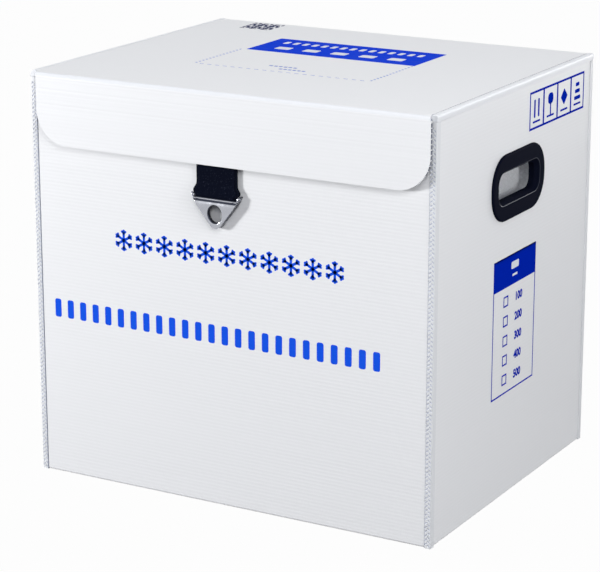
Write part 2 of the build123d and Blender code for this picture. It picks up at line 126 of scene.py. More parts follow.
# -------- finishes
class Graph:
    """A material's node tree, with short calls to add and join nodes."""

    def __init__(self, name: str) -> None:
        """Start a material with its principled shader.

        Args:
            name: The material's name.
        """
        self.material = bpy.data.materials.new(name)
        self.material.use_nodes = True
        self.tree = self.material.node_tree
        self.shader = self.tree.nodes["Principled BSDF"]

    def node(self, kind: str, inputs: dict | None = None, **settings: object) -> bpy.types.Node:
        """Add a node.

        Args:
            kind: The node's type after "ShaderNode".
            inputs: Values or sockets by input name or number.
            settings: Attributes set before the inputs.

        Returns:
            The new node.
        """
        made = self.tree.nodes.new("ShaderNode" + kind)
        for key, value in settings.items():
            setattr(made, key, value)
        for key, value in (inputs or {}).items():
            if isinstance(value, Socket):
                self.tree.links.new(value, made.inputs[key])
            else:
                made.inputs[key].default_value = value
        return made

    def place(self, scale: Point = (1.0, 1.0, 1.0), turn: Point = (0.0, 0.0, 0.0)) -> Socket:
        """Object coordinates, scaled and turned.

        Args:
            scale: Cycles per metre along each axis.
            turn: Rotation in radians about each axis.

        Returns:
            The vector socket.
        """
        source = self.node("TexCoord").outputs["Object"]
        inputs = {"Vector": source, "Scale": scale, "Rotation": turn}
        return self.node("Mapping", inputs).outputs["Vector"]

    def noise(self, vector: Socket, scale: float = 1.0, detail: float = 2.0) -> Socket:
        """A noise value from 0 to 1."""
        inputs = {"Vector": vector, "Scale": scale, "Detail": detail}
        return self.node("TexNoise", inputs).outputs[0]

    def span(self, value: Socket, low: float, high: float, to_low: float, to_high: float) -> Socket:
        """Map one range of values onto another, held at both ends."""
        inputs = {0: value, 1: low, 2: high, 3: to_low, 4: to_high}
        return self.node("MapRange", inputs).outputs[0]

    def math(self, operation: str, first: object, second: object = 0.0) -> Socket:
        """One arithmetic step."""
        return self.node("Math", {0: first, 1: second}, operation=operation).outputs[0]

    def blend(self, factor: Socket, first: Point, second: object) -> Socket:
        """Mix two colours by a factor.

        Args:
            factor: The share of the second.
            first: The first colour.
            second: The second, as a colour or a socket.

        Returns:
            The mixed colour.
        """
        colors = [(*c, 1.0) if isinstance(c, tuple) else c for c in (first, second)]
        inputs = {0: factor, 6: colors[0], 7: colors[1]}
        return self.node("Mix", inputs, data_type="RGBA").outputs[2]

    def wire(self, socket: str, value: Socket) -> None:
        """Join a value to one of the shader's sockets."""
        self.tree.links.new(value, self.shader.inputs[socket])

    def bump(self, *layers: tuple[Socket, float]) -> None:
        """Stack height layers on the shader's normal.

        Args:
            layers: Pairs of a height from 0 to 1 and its real depth in metres.
        """
        normal = None
        for height, depth in layers:
            inputs = {"Height": height, "Distance": depth, "Strength": 1.0}
            if normal is not None:
                inputs["Normal"] = normal
            normal = self.node("Bump", inputs).outputs[0]
        self.wire("Normal", normal)


@dataclass(frozen=True)
class Finish:
    """What a surface is made of: constants for the shader, and a pattern on top."""

    name: str
    color: Point
    roughness: float = 0.45
    metallic: float = 0.0
    specular: float = 0.5
    sheen: float = 0.0
    coat: float = 0.0

    def material(self) -> bpy.types.Material:
        """Make the finish's material.

        Returns:
            The material, made once for all pieces.
        """
        found = bpy.data.materials.get(self.name)
        if found is not None:
            return found
        graph = Graph(self.name)
        shader = graph.shader.inputs
        shader["Base Color"].default_value = (*self.color, 1.0)
        shader["Roughness"].default_value = self.roughness
        shader["Metallic"].default_value = self.metallic
        shader["Specular IOR Level"].default_value = self.specular
        shader["Sheen Weight"].default_value = self.sheen
        shader["Coat Weight"].default_value = self.coat
        self.dress(graph)
        return graph.material

    def shade(self, amount: float) -> Point:
        """The colour, darker or lighter by a factor."""
        return tuple(min(1.0, channel * amount) for channel in self.color)

    def dress(self, graph: Graph) -> None:
        """Add the pattern: fine grain, in colour, gloss and relief.

        Args:
            graph: The material's node tree.
        """
        grain = graph.noise(graph.place(), 900.0, 3.0)
        cloud = graph.noise(graph.place(), 22.0, 3.0)
        graph.wire("Base Color", graph.blend(cloud, self.shade(0.97), self.shade(1.03)))
        graph.wire("Roughness", graph.span(grain, 0.3, 0.7, self.roughness - 0.05, self.roughness + 0.05))
        graph.bump((grain, 0.04 * MM))


@dataclass(frozen=True)
class BoardFinish(Finish):
    """Extruded twin-wall plastic: faint streaks that run with the flutes."""

    run: Axis = Axis.X
    streak: float = 0.985
    flute: float = 0.978
    pitch: float = 4.0 * MM

    def dress(self, graph: Graph) -> None:
        """Add the flutes, streaks along them and a fine satin grain.

        Args:
            graph: The material's node tree.
        """
        place = graph.node("SeparateXYZ", {0: graph.place()}).outputs
        first, second = (place[axis.value] for axis in Axis if axis is not self.run)
        turns = graph.math("MULTIPLY", graph.math("ADD", first, second), math.tau / self.pitch)
        wave = graph.span(graph.math("SINE", turns), -1.0, 1.0, 0.0, 1.0)
        streaks = self.drawn_out(graph, 260.0, 5.0, 3.0)
        bands = self.drawn_out(graph, 60.0, 2.0, 2.0)
        grain = graph.noise(graph.place(), 1400.0, 2.0)
        fine = graph.span(streaks, 0.3, 0.7, 0.4, 1.0)
        both = graph.math("MULTIPLY", fine, graph.span(bands, 0.3, 0.7, 0.5, 1.0))
        skin = graph.span(bands, 0.35, 0.65, 0.5 + 0.5 * self.flute, self.flute)
        skin = graph.math("ADD", skin, graph.math("MULTIPLY", graph.math("SUBTRACT", 1.0, skin), wave))
        tint = graph.blend(both, self.shade(self.streak), self.color)
        graph.wire("Base Color", graph.blend(skin, (0.0, 0.0, 0.0), tint))
        graph.wire("Roughness", graph.span(streaks, 0.3, 0.7, self.roughness - 0.04, self.roughness + 0.06))
        graph.bump((wave, 0.02 * MM), (streaks, 0.05 * MM), (grain, 0.012 * MM))

    def drawn_out(self, graph: Graph, across: float, along: float, detail: float) -> Socket:
        """Noise that is drawn out along the flutes.

        Args:
            graph: The material's node tree.
            across: Its cycles per metre across the flutes.
            along: Its cycles per metre along them.
            detail: The noise's detail.

        Returns:
            The noise's value.
        """
        scale = [across, across, across]
        scale[self.run.value] = along
        return graph.noise(graph.place(tuple(scale)), 1.0, detail)


@dataclass(frozen=True)
class WebbingFinish(Finish):
    """Woven webbing: ribs across, yarns along, and pale lint specks."""

    pitch: float = 1.3 * MM
    speck: float = 0.1
    speck_tint: Point = (0.8, 0.9, 1.3)

    def dress(self, graph: Graph) -> None:
        """Weave, yarn colour and specks.

        Args:
            graph: The material's node tree.
        """
        place = graph.place()
        parts = graph.node("SeparateXYZ", {0: place}).outputs
        turn = math.tau / self.pitch
        across = graph.math("SINE", graph.math("MULTIPLY", parts[0], turn))
        along = graph.math("SINE", graph.math("MULTIPLY", parts[2], turn * 0.8))
        weave = graph.span(graph.math("MULTIPLY", across, along), -1.0, 1.0, 0.0, 1.0)
        lint = graph.noise(place, 700.0, 4.0)
        fleck = graph.span(lint, 0.60, 0.72, 0.0, 1.0)
        pale = tuple(base + self.speck * tint for base, tint in zip(self.color, self.speck_tint))
        graph.wire("Base Color", graph.blend(fleck, self.color, pale))
        graph.wire("Roughness", graph.span(weave, 0.0, 1.0, self.roughness, self.roughness + 0.15))
        graph.bump((weave, 0.22 * MM), (lint, 0.12 * MM))


@dataclass(frozen=True)
class SteelFinish(Finish):
    """Pressed and tumbled steel: soft smears and faint scratches."""

    def dress(self, graph: Graph) -> None:
        """Smears in the gloss and shallow waves from the press.

        Args:
            graph: The material's node tree.
        """
        place = graph.place()
        smear = graph.noise(place, 140.0, 4.0)
        scratch = graph.noise(graph.place((300.0, 300.0, 1600.0), (0.0, 0.5, 0.2)), 1.0, 2.0)
        graph.wire("Roughness", graph.span(smear, 0.3, 0.7, self.roughness * 0.7, self.roughness * 1.5))
        graph.wire("Base Color", graph.blend(smear, self.shade(0.92), self.shade(1.04)))
        graph.bump((smear, 0.05 * MM), (scratch, 0.004 * MM))


@dataclass(frozen=True)
class BeadFoamFinish(Finish):
    """Expanded bead foam: rounded cells pressed flat against each other."""

    bead: float = 4.0 * MM

    def dress(self, graph: Graph) -> None:
        """Bead edges as shallow grooves with painted shade along them, and a slight tone for each bead.

        Args:
            graph: The material's node tree.
        """
        place = graph.place()
        inputs = {"Vector": place, "Scale": 1.0 / self.bead}
        edge = graph.node("TexVoronoi", inputs, feature="DISTANCE_TO_EDGE").outputs["Distance"]
        groove = graph.span(edge, 0.0, 0.16, 0.0, 1.0)
        tone = graph.node("TexVoronoi", inputs, feature="F1").outputs["Color"]
        value = graph.node("SeparateColor", {0: tone}).outputs[0]
        light = graph.span(value, 0.0, 1.0, 0.6, 1.0)
        # Painted shade: the colour darkens along the bead edges, where the grooves are.
        shade = graph.math("MULTIPLY", light, graph.span(groove, 0.0, 1.0, 0.4, 1.0))
        graph.wire("Base Color", graph.blend(shade, self.shade(0.86), self.shade(1.02)))
        graph.bump((groove, 0.35 * MM), (graph.noise(place, 1500.0, 2.0), 0.03 * MM))


@dataclass(frozen=True)
class FoilFinish(Finish):
    """Metallised barrier film drawn tight by the vacuum, with small creases."""

    def dress(self, graph: Graph) -> None:
        """Creases at two sizes.

        Args:
            graph: The material's node tree.
        """
        place = graph.place()
        warped = graph.noise(place, 35.0, 5.0)
        crease = graph.node("TexVoronoi", {"Vector": place, "Scale": 90.0}, feature="DISTANCE_TO_EDGE")
        sharp = graph.span(crease.outputs["Distance"], 0.0, 0.25, 0.0, 1.0)
        graph.wire("Base Color", graph.blend(warped, self.shade(0.9), self.shade(1.05)))
        graph.wire("Roughness", graph.span(warped, 0.3, 0.7, self.roughness, self.roughness + 0.15))
        graph.bump((sharp, 0.25 * MM), (warped, 0.6 * MM))


@dataclass(frozen=True)
class PileFinish(Finish):
    """Hook-and-loop tape: a dense pile of loops, or rows of hooks."""

    tuft: float = 0.9 * MM

    def dress(self, graph: Graph) -> None:
        """Tufts as raised cells, with painted shade darkening the gaps between them.

        Args:
            graph: The material's node tree.
        """
        place = graph.place()
        inputs = {"Vector": place, "Scale": 1.0 / self.tuft}
        cell = graph.node("TexVoronoi", inputs, feature="F1").outputs["Distance"]
        tuft = graph.span(cell, 0.1, 0.7, 1.0, 0.0)
        fluff = graph.noise(place, 1800.0, 3.0)
        # Painted shade: the colour darkens in the gaps between tufts.
        graph.wire("Base Color", graph.blend(tuft, self.shade(0.72), self.shade(1.04)))
        graph.bump((tuft, 0.4 * MM), (fluff, 0.15 * MM))


@dataclass(frozen=True)
class GelFinish(Finish):
    """Blue gel in a milky bottle: clouds under a moulded skin."""

    def dress(self, graph: Graph) -> None:
        """Clouded colour and an orange-peel skin.

        Args:
            graph: The material's node tree.
        """
        place = graph.place()
        cloud = graph.noise(place, 14.0, 5.0)
        peel = graph.noise(place, 420.0, 2.0)
        graph.shader.inputs["Subsurface Weight"].default_value = 0.15
        graph.shader.inputs["Subsurface Radius"].default_value = (0.002, 0.004, 0.008)
        graph.wire("Base Color", graph.blend(cloud, self.shade(0.82), self.shade(1.15)))
        graph.bump((peel, 0.05 * MM))


BOARD_WHITE = linear(242, 243, 245)
BOARD_X = BoardFinish("board_flutes_across", BOARD_WHITE, 0.42)
BOARD_Y = BoardFinish("board_flutes_deep", BOARD_WHITE, 0.42, run=Axis.Y)
CREASE = BoardFinish("creased_board", linear(232, 234, 238), 0.5, specular=0.3)
WELD = BoardFinish("welded_board", linear(233, 235, 238), 0.42, run=Axis.Z)
# Painted shade: a darker blue-grey for the floors of the sunk weld marks, where shade falls in the dents.
WELD_MARK_SHADE = Finish("weld_mark_shade", linear(206, 210, 222), 0.5, specular=0.2)
HEM = BoardFinish("folded_hem", linear(238, 240, 244), 0.36, run=Axis.Y)
# Painted shade: a blue-grey for the open flute mouths, the gap beside the lid's ends and the corner strips'
# inner groove, where shade falls.
PAINTED_GAP_SHADE = Finish("painted_gap_shade", linear(150, 155, 172), 0.6)
# One blue ink in three copies, tuned to each face's tone: the side and lid copies are darker than the front
# one, painted shade for those faces.
INK_LIT_FRONT = BoardFinish("blue_ink_lit_front", linear(24, 88, 238), 0.55, specular=0.03, streak=0.95)
INK_SHADED_SIDE = BoardFinish("blue_ink_shaded_side", linear(3, 40, 186), 0.55, specular=0.0, run=Axis.Y, streak=0.95)
INK_SHADED_LID = BoardFinish("blue_ink_shaded_lid", linear(12, 66, 228), 0.6, specular=0.01, streak=0.95)
INK_DARK = BoardFinish("dark_ink", linear(34, 42, 84), 0.55, specular=0.05, streak=0.9)
INK_DOTS = BoardFinish("pale_blue_ink", linear(120, 140, 216), 0.55, specular=0.1, streak=0.9)
PAPER = BoardFinish("unprinted_board", linear(232, 235, 242), 0.5, specular=0.3)
WEBBING = WebbingFinish("black_webbing", linear(14, 17, 29), 0.75, sheen=0.01, specular=0.015, speck=0.03)
HOOK_BLACK = WebbingFinish(
    "black_pile_tape", linear(12, 16, 30), 0.8, sheen=0.01, specular=0.012, pitch=0.9 * MM, speck=0.035
)
LOOP_WEBBING = WebbingFinish("grey_webbing", linear(44, 48, 58), 0.62, sheen=0.2, pitch=1.6 * MM)
THREAD_BLACK = Finish("black_thread", linear(30, 33, 44), 0.55)
THREAD_WHITE = Finish("white_thread", linear(235, 236, 240), 0.55)
STEEL = SteelFinish("drawn_steel", (0.45, 0.462, 0.505), 0.2, metallic=1.0)
# Painted shade: near-black steel for the pleats' valleys, the band's groove and the eye's inner wall,
# standing for their shade and dark reflections.
STEEL_SHADE = SteelFinish("steel_painted_shade", (0.045, 0.05, 0.07), 0.3, metallic=1.0)
MOULDED_BLACK = Finish("moulded_black", linear(14, 17, 31), 0.5, specular=0.003)
# Painted highlight: a lighter black for the hand hold's lip, a painted light line together with some real
# gloss.
LIP_HIGHLIGHT = Finish("lip_painted_highlight", linear(34, 40, 56), 0.4, specular=0.12)
BEAD_FOAM = BeadFoamFinish("bead_foam", linear(226, 228, 232), 0.62)
LINER = Finish("liner_skin", linear(232, 236, 241), 0.28, coat=0.2)
FOIL = FoilFinish("creased_film", (0.72, 0.73, 0.75), 0.26, metallic=0.9)
GEL = GelFinish("gel_pack", linear(96, 160, 222), 0.3, coat=0.3)
CAP = Finish("pack_cap", linear(238, 240, 243), 0.3)
SEAL = Finish("black_seal", linear(70, 74, 82), 0.6)
LOOP_PILE = PileFinish("loop_pile", linear(232, 234, 238), 0.8, sheen=0.4)
HOOK_PILE = PileFinish("hook_rows", linear(226, 228, 233), 0.5, tuft=1.3 * MM)


# -------- shaping
def only(kind: type, geom: Iterable[object]) -> list:
    """The members of some geometry that are of one kind."""
    return [member for member in geom if isinstance(member, kind)]


class Shape:
    """A mesh being shaped with bmesh operators, then handed to a body."""

    def __init__(self) -> None:
        """Start with an empty mesh."""
        self.bm = bmesh.new()

    def block(self, low: Vector, high: Vector) -> None:
        """Add a box between two corners.

        Args:
            low: The lowest corner.
            high: The highest corner.
        """
        place = Matrix.Translation((low + high) / 2) @ Matrix.Diagonal((*(high - low), 1.0))
        bmesh.ops.create_cube(self.bm, size=1.0, matrix=place)

    def cylinder(self, place: Matrix, radius: float, length: float, segments: int) -> None:
        """Add a closed cylinder.

        Args:
            place: The place of its middle, with Z along it.
            radius: Its radius.
            length: Its length.
            segments: Steps round it.
        """
        sizes = {"segments": segments, "radius1": radius, "radius2": radius, "depth": length}
        bmesh.ops.create_cone(self.bm, cap_ends=True, matrix=place, **sizes)

    def slice(self, geom: Iterable[object], point: Vector, normal: Vector) -> list[Vert]:
        """Divide some geometry by a plane.

        Args:
            geom: The vertices, edges and faces to divide.
            point: A point of the plane.
            normal: Which way the plane looks.

        Returns:
            The vertices in the plane.
        """
        made = bmesh.ops.bisect_plane(
            self.bm, geom=list(geom), dist=0.1 * TOUCH, plane_co=point, plane_no=normal
        )
        return only(Vert, made["geom_cut"])

    def cut(self, where: float, axis: Axis, faces: Iterable[Face] | None = None) -> None:
        """Divide the mesh by a plane square to an axis.

        Args:
            where: The plane's coordinate.
            axis: The axis that the plane is square to.
            faces: The faces to divide, or all of them.
        """
        chosen = list(self.bm.faces if faces is None else faces)
        edges = {edge for face in chosen for edge in face.edges}
        verts = {vert for face in chosen for vert in face.verts}
        self.slice([*verts, *edges, *chosen], axis.vector() * where, axis.vector())

    def round(self, geom: Iterable[object], width: float, segments: int = 3) -> list[Vert]:
        """Round edges, or the corners of a flat face.

        Args:
            geom: The edges, or the corners.
            width: How far the rounding reaches.
            segments: Steps across it.

        Returns:
            The new vertices.
        """
        chosen = list(geom)
        flat = bool(only(Vert, chosen))
        settings = {"profile": 0.5, "material": -1, "clamp_overlap": not flat}
        settings["affect"] = "VERTICES" if flat else "EDGES"
        made = bmesh.ops.bevel(self.bm, geom=chosen, offset=width, segments=segments, **settings)
        return made["verts"]

    def sharp_edges(self, angle: float = 30.0) -> list[Edge]:
        """Edges where the surface turns by more than an angle in degrees."""
        return [e for e in self.bm.edges if e.is_manifold and e.calc_face_angle(0.0) > math.radians(angle)]

    def edges_at(self, run: Axis, at: dict[Axis, float]) -> list[Edge]:
        """Edges that run along an axis.

        Args:
            run: The axis.
            at: Where they lie on each other axis that counts.

        Returns:
            The edges.
        """
        found = []
        for edge in self.bm.edges:
            way = edge.verts[1].co - edge.verts[0].co
            middle = (edge.verts[1].co + edge.verts[0].co) / 2
            placed = all(abs(middle[axis.value] - where) < TOUCH for axis, where in at.items())
            if placed and abs(way[run.value]) > 0.999 * way.length > 0:
                found.append(edge)
        return found

    def faces_to(self, axis: Axis, sign: float, level: float = 0.99) -> list[Face]:
        """Faces whose normal points along an axis.

        Args:
            axis: The axis.
            sign: 1 or -1 for the way along it.
            level: The least share of the normal that lies along it.

        Returns:
            The faces.
        """
        self.bm.normal_update()
        return [f for f in self.bm.faces if f.normal[axis.value] * sign > level]

    def largest(self, axis: Axis, sign: float) -> Face:
        """The largest face whose normal points along an axis."""
        return max(self.faces_to(axis, sign), key=lambda f: f.calc_area())

    def rectangle(
        self,
        centre: Vector,
        along: Axis,
        up: Axis,
        size: tuple[float, float],
        radius: float = 0.0,
        segments: int = 4,
    ) -> Face:
        """Add a flat rectangle.

        Args:
            centre: Its middle.
            along: The axis of its width.
            up: The axis of its height.
            size: Width and height.
            radius: The radius of its corners.
            segments: Steps round each corner.

        Returns:
            Its face.
        """
        a = along.vector(size[0] / 2)
        b = up.vector(size[1] / 2)
        ways = ((-1, -1), (1, -1), (1, 1), (-1, 1))
        corners = [self.bm.verts.new(centre + x * a + y * b) for x, y in ways]
        face = self.bm.faces.new(corners)
        return self.round(corners, radius, segments)[0].link_faces[0] if radius else face

    def inset(
        self, faces: Sequence[Face], width: float, depth: float = 0.0, even: bool = False
    ) -> list[Face]:
        """Inset a region of faces, within its rim.

        Args:
            faces: The region.
            width: How far its edge moves in.
            depth: How far it rises.
            even: Whether the width is held at corners too.

        Returns:
            The new faces round it.
        """
        return bmesh.ops.inset_region(
            self.bm, faces=faces, thickness=width, depth=depth, use_boundary=True, use_even_offset=even
        )["faces"]

    def sink_each(self, faces: Sequence[Face], width: float, depth: float) -> None:
        """Inset faces one by one, and sink them."""
        bmesh.ops.inset_individual(self.bm, faces=faces, thickness=width, depth=-depth)

    def remove(self, faces: Sequence[Face], keep_edges: bool = False) -> None:
        """Take faces away, with or without their edges."""
        bmesh.ops.delete(self.bm, geom=faces, context="FACES_ONLY" if keep_edges else "FACES")

    def move(self, verts: Sequence[Vert], by: Vector) -> None:
        """Move vertices."""
        bmesh.ops.translate(self.bm, verts=verts, vec=by)

    def join_close(self) -> None:
        """Join vertices that lie on each other."""
        bmesh.ops.remove_doubles(self.bm, verts=self.bm.verts, dist=TOUCH)

    def outwards(self) -> None:
        """Turn every face outwards."""
        bmesh.ops.recalc_face_normals(self.bm, faces=self.bm.faces)

    def take(self, part: Shape) -> None:
        """Move another shape's mesh into this one.

        Args:
            part: The other shape, which is freed.
        """
        made = bpy.data.meshes.new("part")
        part.bm.to_mesh(made)
        self.bm.from_mesh(made)
        part.bm.free()
        bpy.data.meshes.remove(made)

    def piece(
        self,
        name: str,
        finishes: Sequence[Finish],
        slot: str,
        body: str | None,
        stands_for: Sequence[str] = (),
        crisp: float = 38.0,
        weighted: bool = True,
    ) -> bpy.types.Object:
        """slot: The record's material slot; not used.
            body: The body that it rides on, or None if the caller blends it.
            stands_for: The nodes that it replaces.
            crisp: The angle in degrees past which an edge stays sharp.
            weighted: Whether large flat faces keep their own normal.

        Returns:
            The new object.
        """
        mesh = bpy.data.meshes.new(name)
        self.bm.normal_update()
        self.bm.to_mesh(mesh)
        self.bm.free()
        for finish in finishes:
            mesh.materials.append(finish.material())
        mesh.shade_smooth()
        mesh.set_sharp_from_angle(angle=math.radians(crisp))
        made = bpy.data.objects.new(name, mesh)
        bpy.context.scene.collection.objects.link(made)
        if weighted:
            made.modifiers.new("flat faces", "WEIGHTED_NORMAL").keep_sharp = True
        if body is not None:
            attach(made, body)
        if stands_for:
            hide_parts(*stands_for)
        log.info("%s: %d faces", name, len(mesh.polygons))
        return made


def copy_of(node: str, width: float = 0.0, segments: int = 3) -> Shape:
    """A copy of a node's mesh with whole flat faces and rounded edges.

    Args:
        node: The node.
        width: How far the rounding of its edges reaches.
        segments: Steps across it.

    Returns:
        The shape.
    """
    shape = Shape()
    shape.bm.from_mesh(frame["nodes"][node].data)
    shape.join_close()
    bmesh.ops.dissolve_limit(
        shape.bm, angle_limit=math.radians(1.0), verts=shape.bm.verts, edges=shape.bm.edges
    )
    if width:
        shape.round(shape.sharp_edges(), width, segments)
    return shape


def soften(
    node: str, name: str, dress: tuple[Finish, str], body: str, width: float, segments: int = 3
) -> None:
    """Finish a node's own mesh as a piece, with its edges rounded.

    Args:
        node: The node.
        name: The piece's name.
        dress: Its finish and its material slot.
        body: The body that it rides on.
        width: How far the rounding of its edges reaches.
        segments: Steps across it.
    """
    finish, slot = dress
    copy_of(node, width, segments).piece(name, [finish], slot, body, [node])


# -------- boards
@dataclass
class FlutedBoard:
    """A twin-wall board: each rib shows as a shallow line on its faces."""

    node: str
    run: Axis
    across: Axis
    finish: Finish
    pitch: float = 4.0 * MM
    relief: float = 0.07 * MM
    shoulder: float = 1.1 * MM
    edge_round: float = 0.5 * MM
    foot_round: float = 2.6 * MM

    def __post_init__(self) -> None:
        """Read the node's box."""
        self.low, self.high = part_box(self.node)

    def ribs(self) -> list[float]:
        """Place the ribs.

        Returns:
            Where they lie across the board.
        """
        start = self.low[self.across.value] + self.pitch
        count = int((self.high[self.across.value] - start - self.shoulder) / self.pitch) + 1
        return [start + self.pitch * k for k in range(count)]

    def shape(self, foot: bool = False) -> Shape:
        """Build the board.

        Args:
            foot: Whether its outer lower edge is rounded as a crease.

        Returns:
            The shape.
        """
        shape = Shape()
        shape.block(self.low, self.high)
        thin = next(axis for axis in Axis if axis not in (self.run, self.across))
        if foot:
            outward = math.copysign(1.0, self.low[thin.value] + self.high[thin.value])
            face = self.high[thin.value] if outward > 0 else self.low[thin.value]
            shape.round(shape.edges_at(self.run, {thin: face, Axis.Z: self.low.z}), self.foot_round, 5)
        shape.round(shape.sharp_edges(60), self.edge_round, 2)
        ribs = self.ribs()
        for rib in ribs:
            for offset in (-self.shoulder, 0.0, self.shoulder):
                shape.cut(rib + offset, self.across)
        for vert in shape.bm.verts:
            step = (vert.co[self.across.value] - ribs[0]) / self.pitch
            if abs(step - round(step)) * self.pitch < TOUCH:
                if abs(vert.co[thin.value] - self.low[thin.value]) < TOUCH:
                    vert.co[thin.value] += self.relief
                elif abs(vert.co[thin.value] - self.high[thin.value]) < TOUCH:
                    vert.co[thin.value] -= self.relief
        return shape

    def piece(self, shape: Shape) -> None:
        """Finish the board's shape as a piece of the carton."""
        shape.piece(f"{self.node}_board", [self.finish], "hollow_board", "carton", [self.node])


@dataclass
class Carton:
    """The welded carton: walls, bottom, folded hems, corner strips and rear crease."""

    crease_radius: float = 4.5 * MM
    crease_steps: int = 8
    hem_round: float = 2.6 * MM
    hem_inner_round: float = 0.8 * MM
    weld_pitch: float = 4.62 * MM
    weld_width: float = 2.3 * MM
    weld_rim: float = 0.35 * MM
    weld_depth: float = 0.5 * MM
    strip_round: float = 1.1 * MM
    weld_lean: float = 0.5
    weld_starts: tuple[float, float] = (1.3, 0.8)
    strip_groove: float = 0.7 * MM
    clip_to_hole: float = 10.0 * MM

    def build(self) -> None:
        """Build every part of the carton."""
        for end in End:
            self.end_panel(end)
        for side in Side:
            self.side_panel(side)
            self.hem(side)
        for end in End:
            for side in Side:
                self.corner_strip(end, side)
        self.bottom()
        self.rear_crease()

    def end_panel(self, end: End) -> None:
        """Front or back panel, with flutes from side to side.

        Args:
            end: Which of the two.
        """
        board = FlutedBoard(f"{end.word}_panel", Axis.X, Axis.Z, BOARD_X)
        if end is End.BACK:
            board.high.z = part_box("lid_panel")[1].z - self.crease_radius
        board.piece(board.shape(foot=True))

    def side_panel(self, side: Side) -> None:
        """Side panel with the hole that the hand hold's sleeve passes through.

        Args:
            side: Which of the two.
        """
        board = FlutedBoard(f"{side.word}_panel", Axis.Y, Axis.Z, BOARD_Y)
        shape = board.shape(foot=True)
        clip_low, clip_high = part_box(f"{side.word}_handle_clip")
        inset = Vector((0.0, self.clip_to_hole, self.clip_to_hole))
        low = clip_low + inset
        high = clip_high - inset
        for axis in (Axis.Y, Axis.Z):
            for where in (low[axis.value], high[axis.value]):
                shape.cut(where, axis)
        doomed = []
        for face in shape.faces_to(Axis.X, 1.0, 0.9) + shape.faces_to(Axis.X, -1.0, 0.9):
            centre = face.calc_center_median()
            if low.y < centre.y < high.y and low.z < centre.z < high.z:
                doomed.append(face)
        shape.remove(doomed)
        bmesh.ops.bridge_loops(shape.bm, edges=[e for e in shape.bm.edges if e.is_boundary])
        board.piece(shape)

    def hem(self, side: Side) -> None:
        """The folded top edge of a side panel: a soft, slightly crowned roll.

        Args:
            side: The panel that it tops.
        """
        name = f"{side.word}_top_hem"
        low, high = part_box(name)
        shape = Shape()
        shape.block(low, high)
        outer = high.x if side is Side.RIGHT else low.x
        shape.round(shape.edges_at(Axis.Y, {Axis.X: outer, Axis.Z: high.z}), self.hem_round, 7)
        shape.round(shape.sharp_edges(60), self.hem_inner_round, 3)
        shape.piece(f"{name}_roll", [HEM], "hollow_board", "carton", [name])

    def corner_strip(self, end: End, side: Side) -> None:
        """A welded corner strip with two leaning columns of weld marks.

        Args:
            end: The end that it shows on.
            side: The side that it is at.
        """
        name = f"corner_seam_{end.word}_{side.word}"
        low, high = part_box(name)
        shape = Shape()
        shape.block(low, high)
        outer_x = high.x if side is Side.RIGHT else low.x
        outer_y = high.y if end is End.BACK else low.y
        inner_x = low.x if side is Side.RIGHT else high.x
        for x, width, segments in ((outer_x, self.strip_round, 4), (inner_x, self.strip_groove, 2)):
            shape.round(shape.edges_at(Axis.Z, {Axis.X: x, Axis.Y: outer_y}), width, segments)
        # The inner groove's faces get the painted gap shade, a dark line standing for the shade in the
        # groove.
        for face in shape.bm.faces:
            inward = face.normal.x * math.copysign(1.0, inner_x - outer_x)
            if inward > 0.2 and face.normal.y * end.value > 0.2:
                face.material_index = 2
        face = shape.largest(Axis.Y, end.value)
        xs = sorted({v.co.x for v in face.verts})
        middle = (xs[0] + xs[-1]) / 2
        shape.cut(middle, Axis.X, [face])
        for column, lean in ((-1, self.weld_lean), (1, -self.weld_lean)):
            self.weld_column(shape, end, (middle, column), lean, (low.z, high.z))
        finishes = [WELD, WELD_MARK_SHADE, PAINTED_GAP_SHADE]
        shape.piece(f"{name}_weld", finishes, "welded_seam", "carton", [name], crisp=50.0)

    def weld_column(
        self, shape: Shape, end: End, column: tuple[float, int], lean: float, span: tuple[float, float]
    ) -> None:
        """Press one column of leaning marks into a strip's face.

        Args:
            shape: The strip.
            end: The end that its face looks to.
            column: The x between the two columns, and the side of it.
            lean: The slope of the marks.
            span: The strip's lowest and highest z.
        """
        middle, way = column

        def mine() -> list[Face]:
            """The faces of this column."""
            flat = shape.faces_to(Axis.Y, end.value, 0.999)
            return [f for f in flat if (f.calc_center_median().x - middle) * way > 0]

        def height(face: Face) -> float:
            """A face's height, measured along the marks' slope."""
            centre = face.calc_center_median()
            return centre.z - lean * (centre.x - middle)

        normal = Vector((-lean, 0.0, 1.0)).normalized()
        count = int((span[1] - span[0]) / self.weld_pitch) - 1
        start = span[0] + self.weld_pitch * self.weld_starts[way > 0]
        face = mine()[0]
        for k in range(count):
            for half in (-0.5, 0.5):
                centre = Vector((middle, 0.0, start + k * self.weld_pitch + half * self.weld_width))
                shape.slice([*face.verts, *face.edges, face], centre, normal)
                face = max(mine(), key=height)
        marks = []
        for face in mine():
            step = (height(face) - start) / self.weld_pitch
            if abs(step - round(step)) < 0.1 and -0.5 < step < count - 0.5:
                marks.append(face)
        shape.sink_each(marks, self.weld_rim, self.weld_depth)
        # The marks' floors get the weld marks' painted shade.
        for face in marks:
            face.material_index = 1

    def bottom(self) -> None:
        """The four bottom flaps."""
        flaps = [(end.word, Axis.X, Axis.Y, BOARD_X) for end in End]
        flaps += [(side.word, Axis.Y, Axis.X, BOARD_Y) for side in Side]
        for word, run, across, finish in flaps:
            board = FlutedBoard(f"bottom_flap_{word}", run, across, finish)
            board.piece(board.shape())

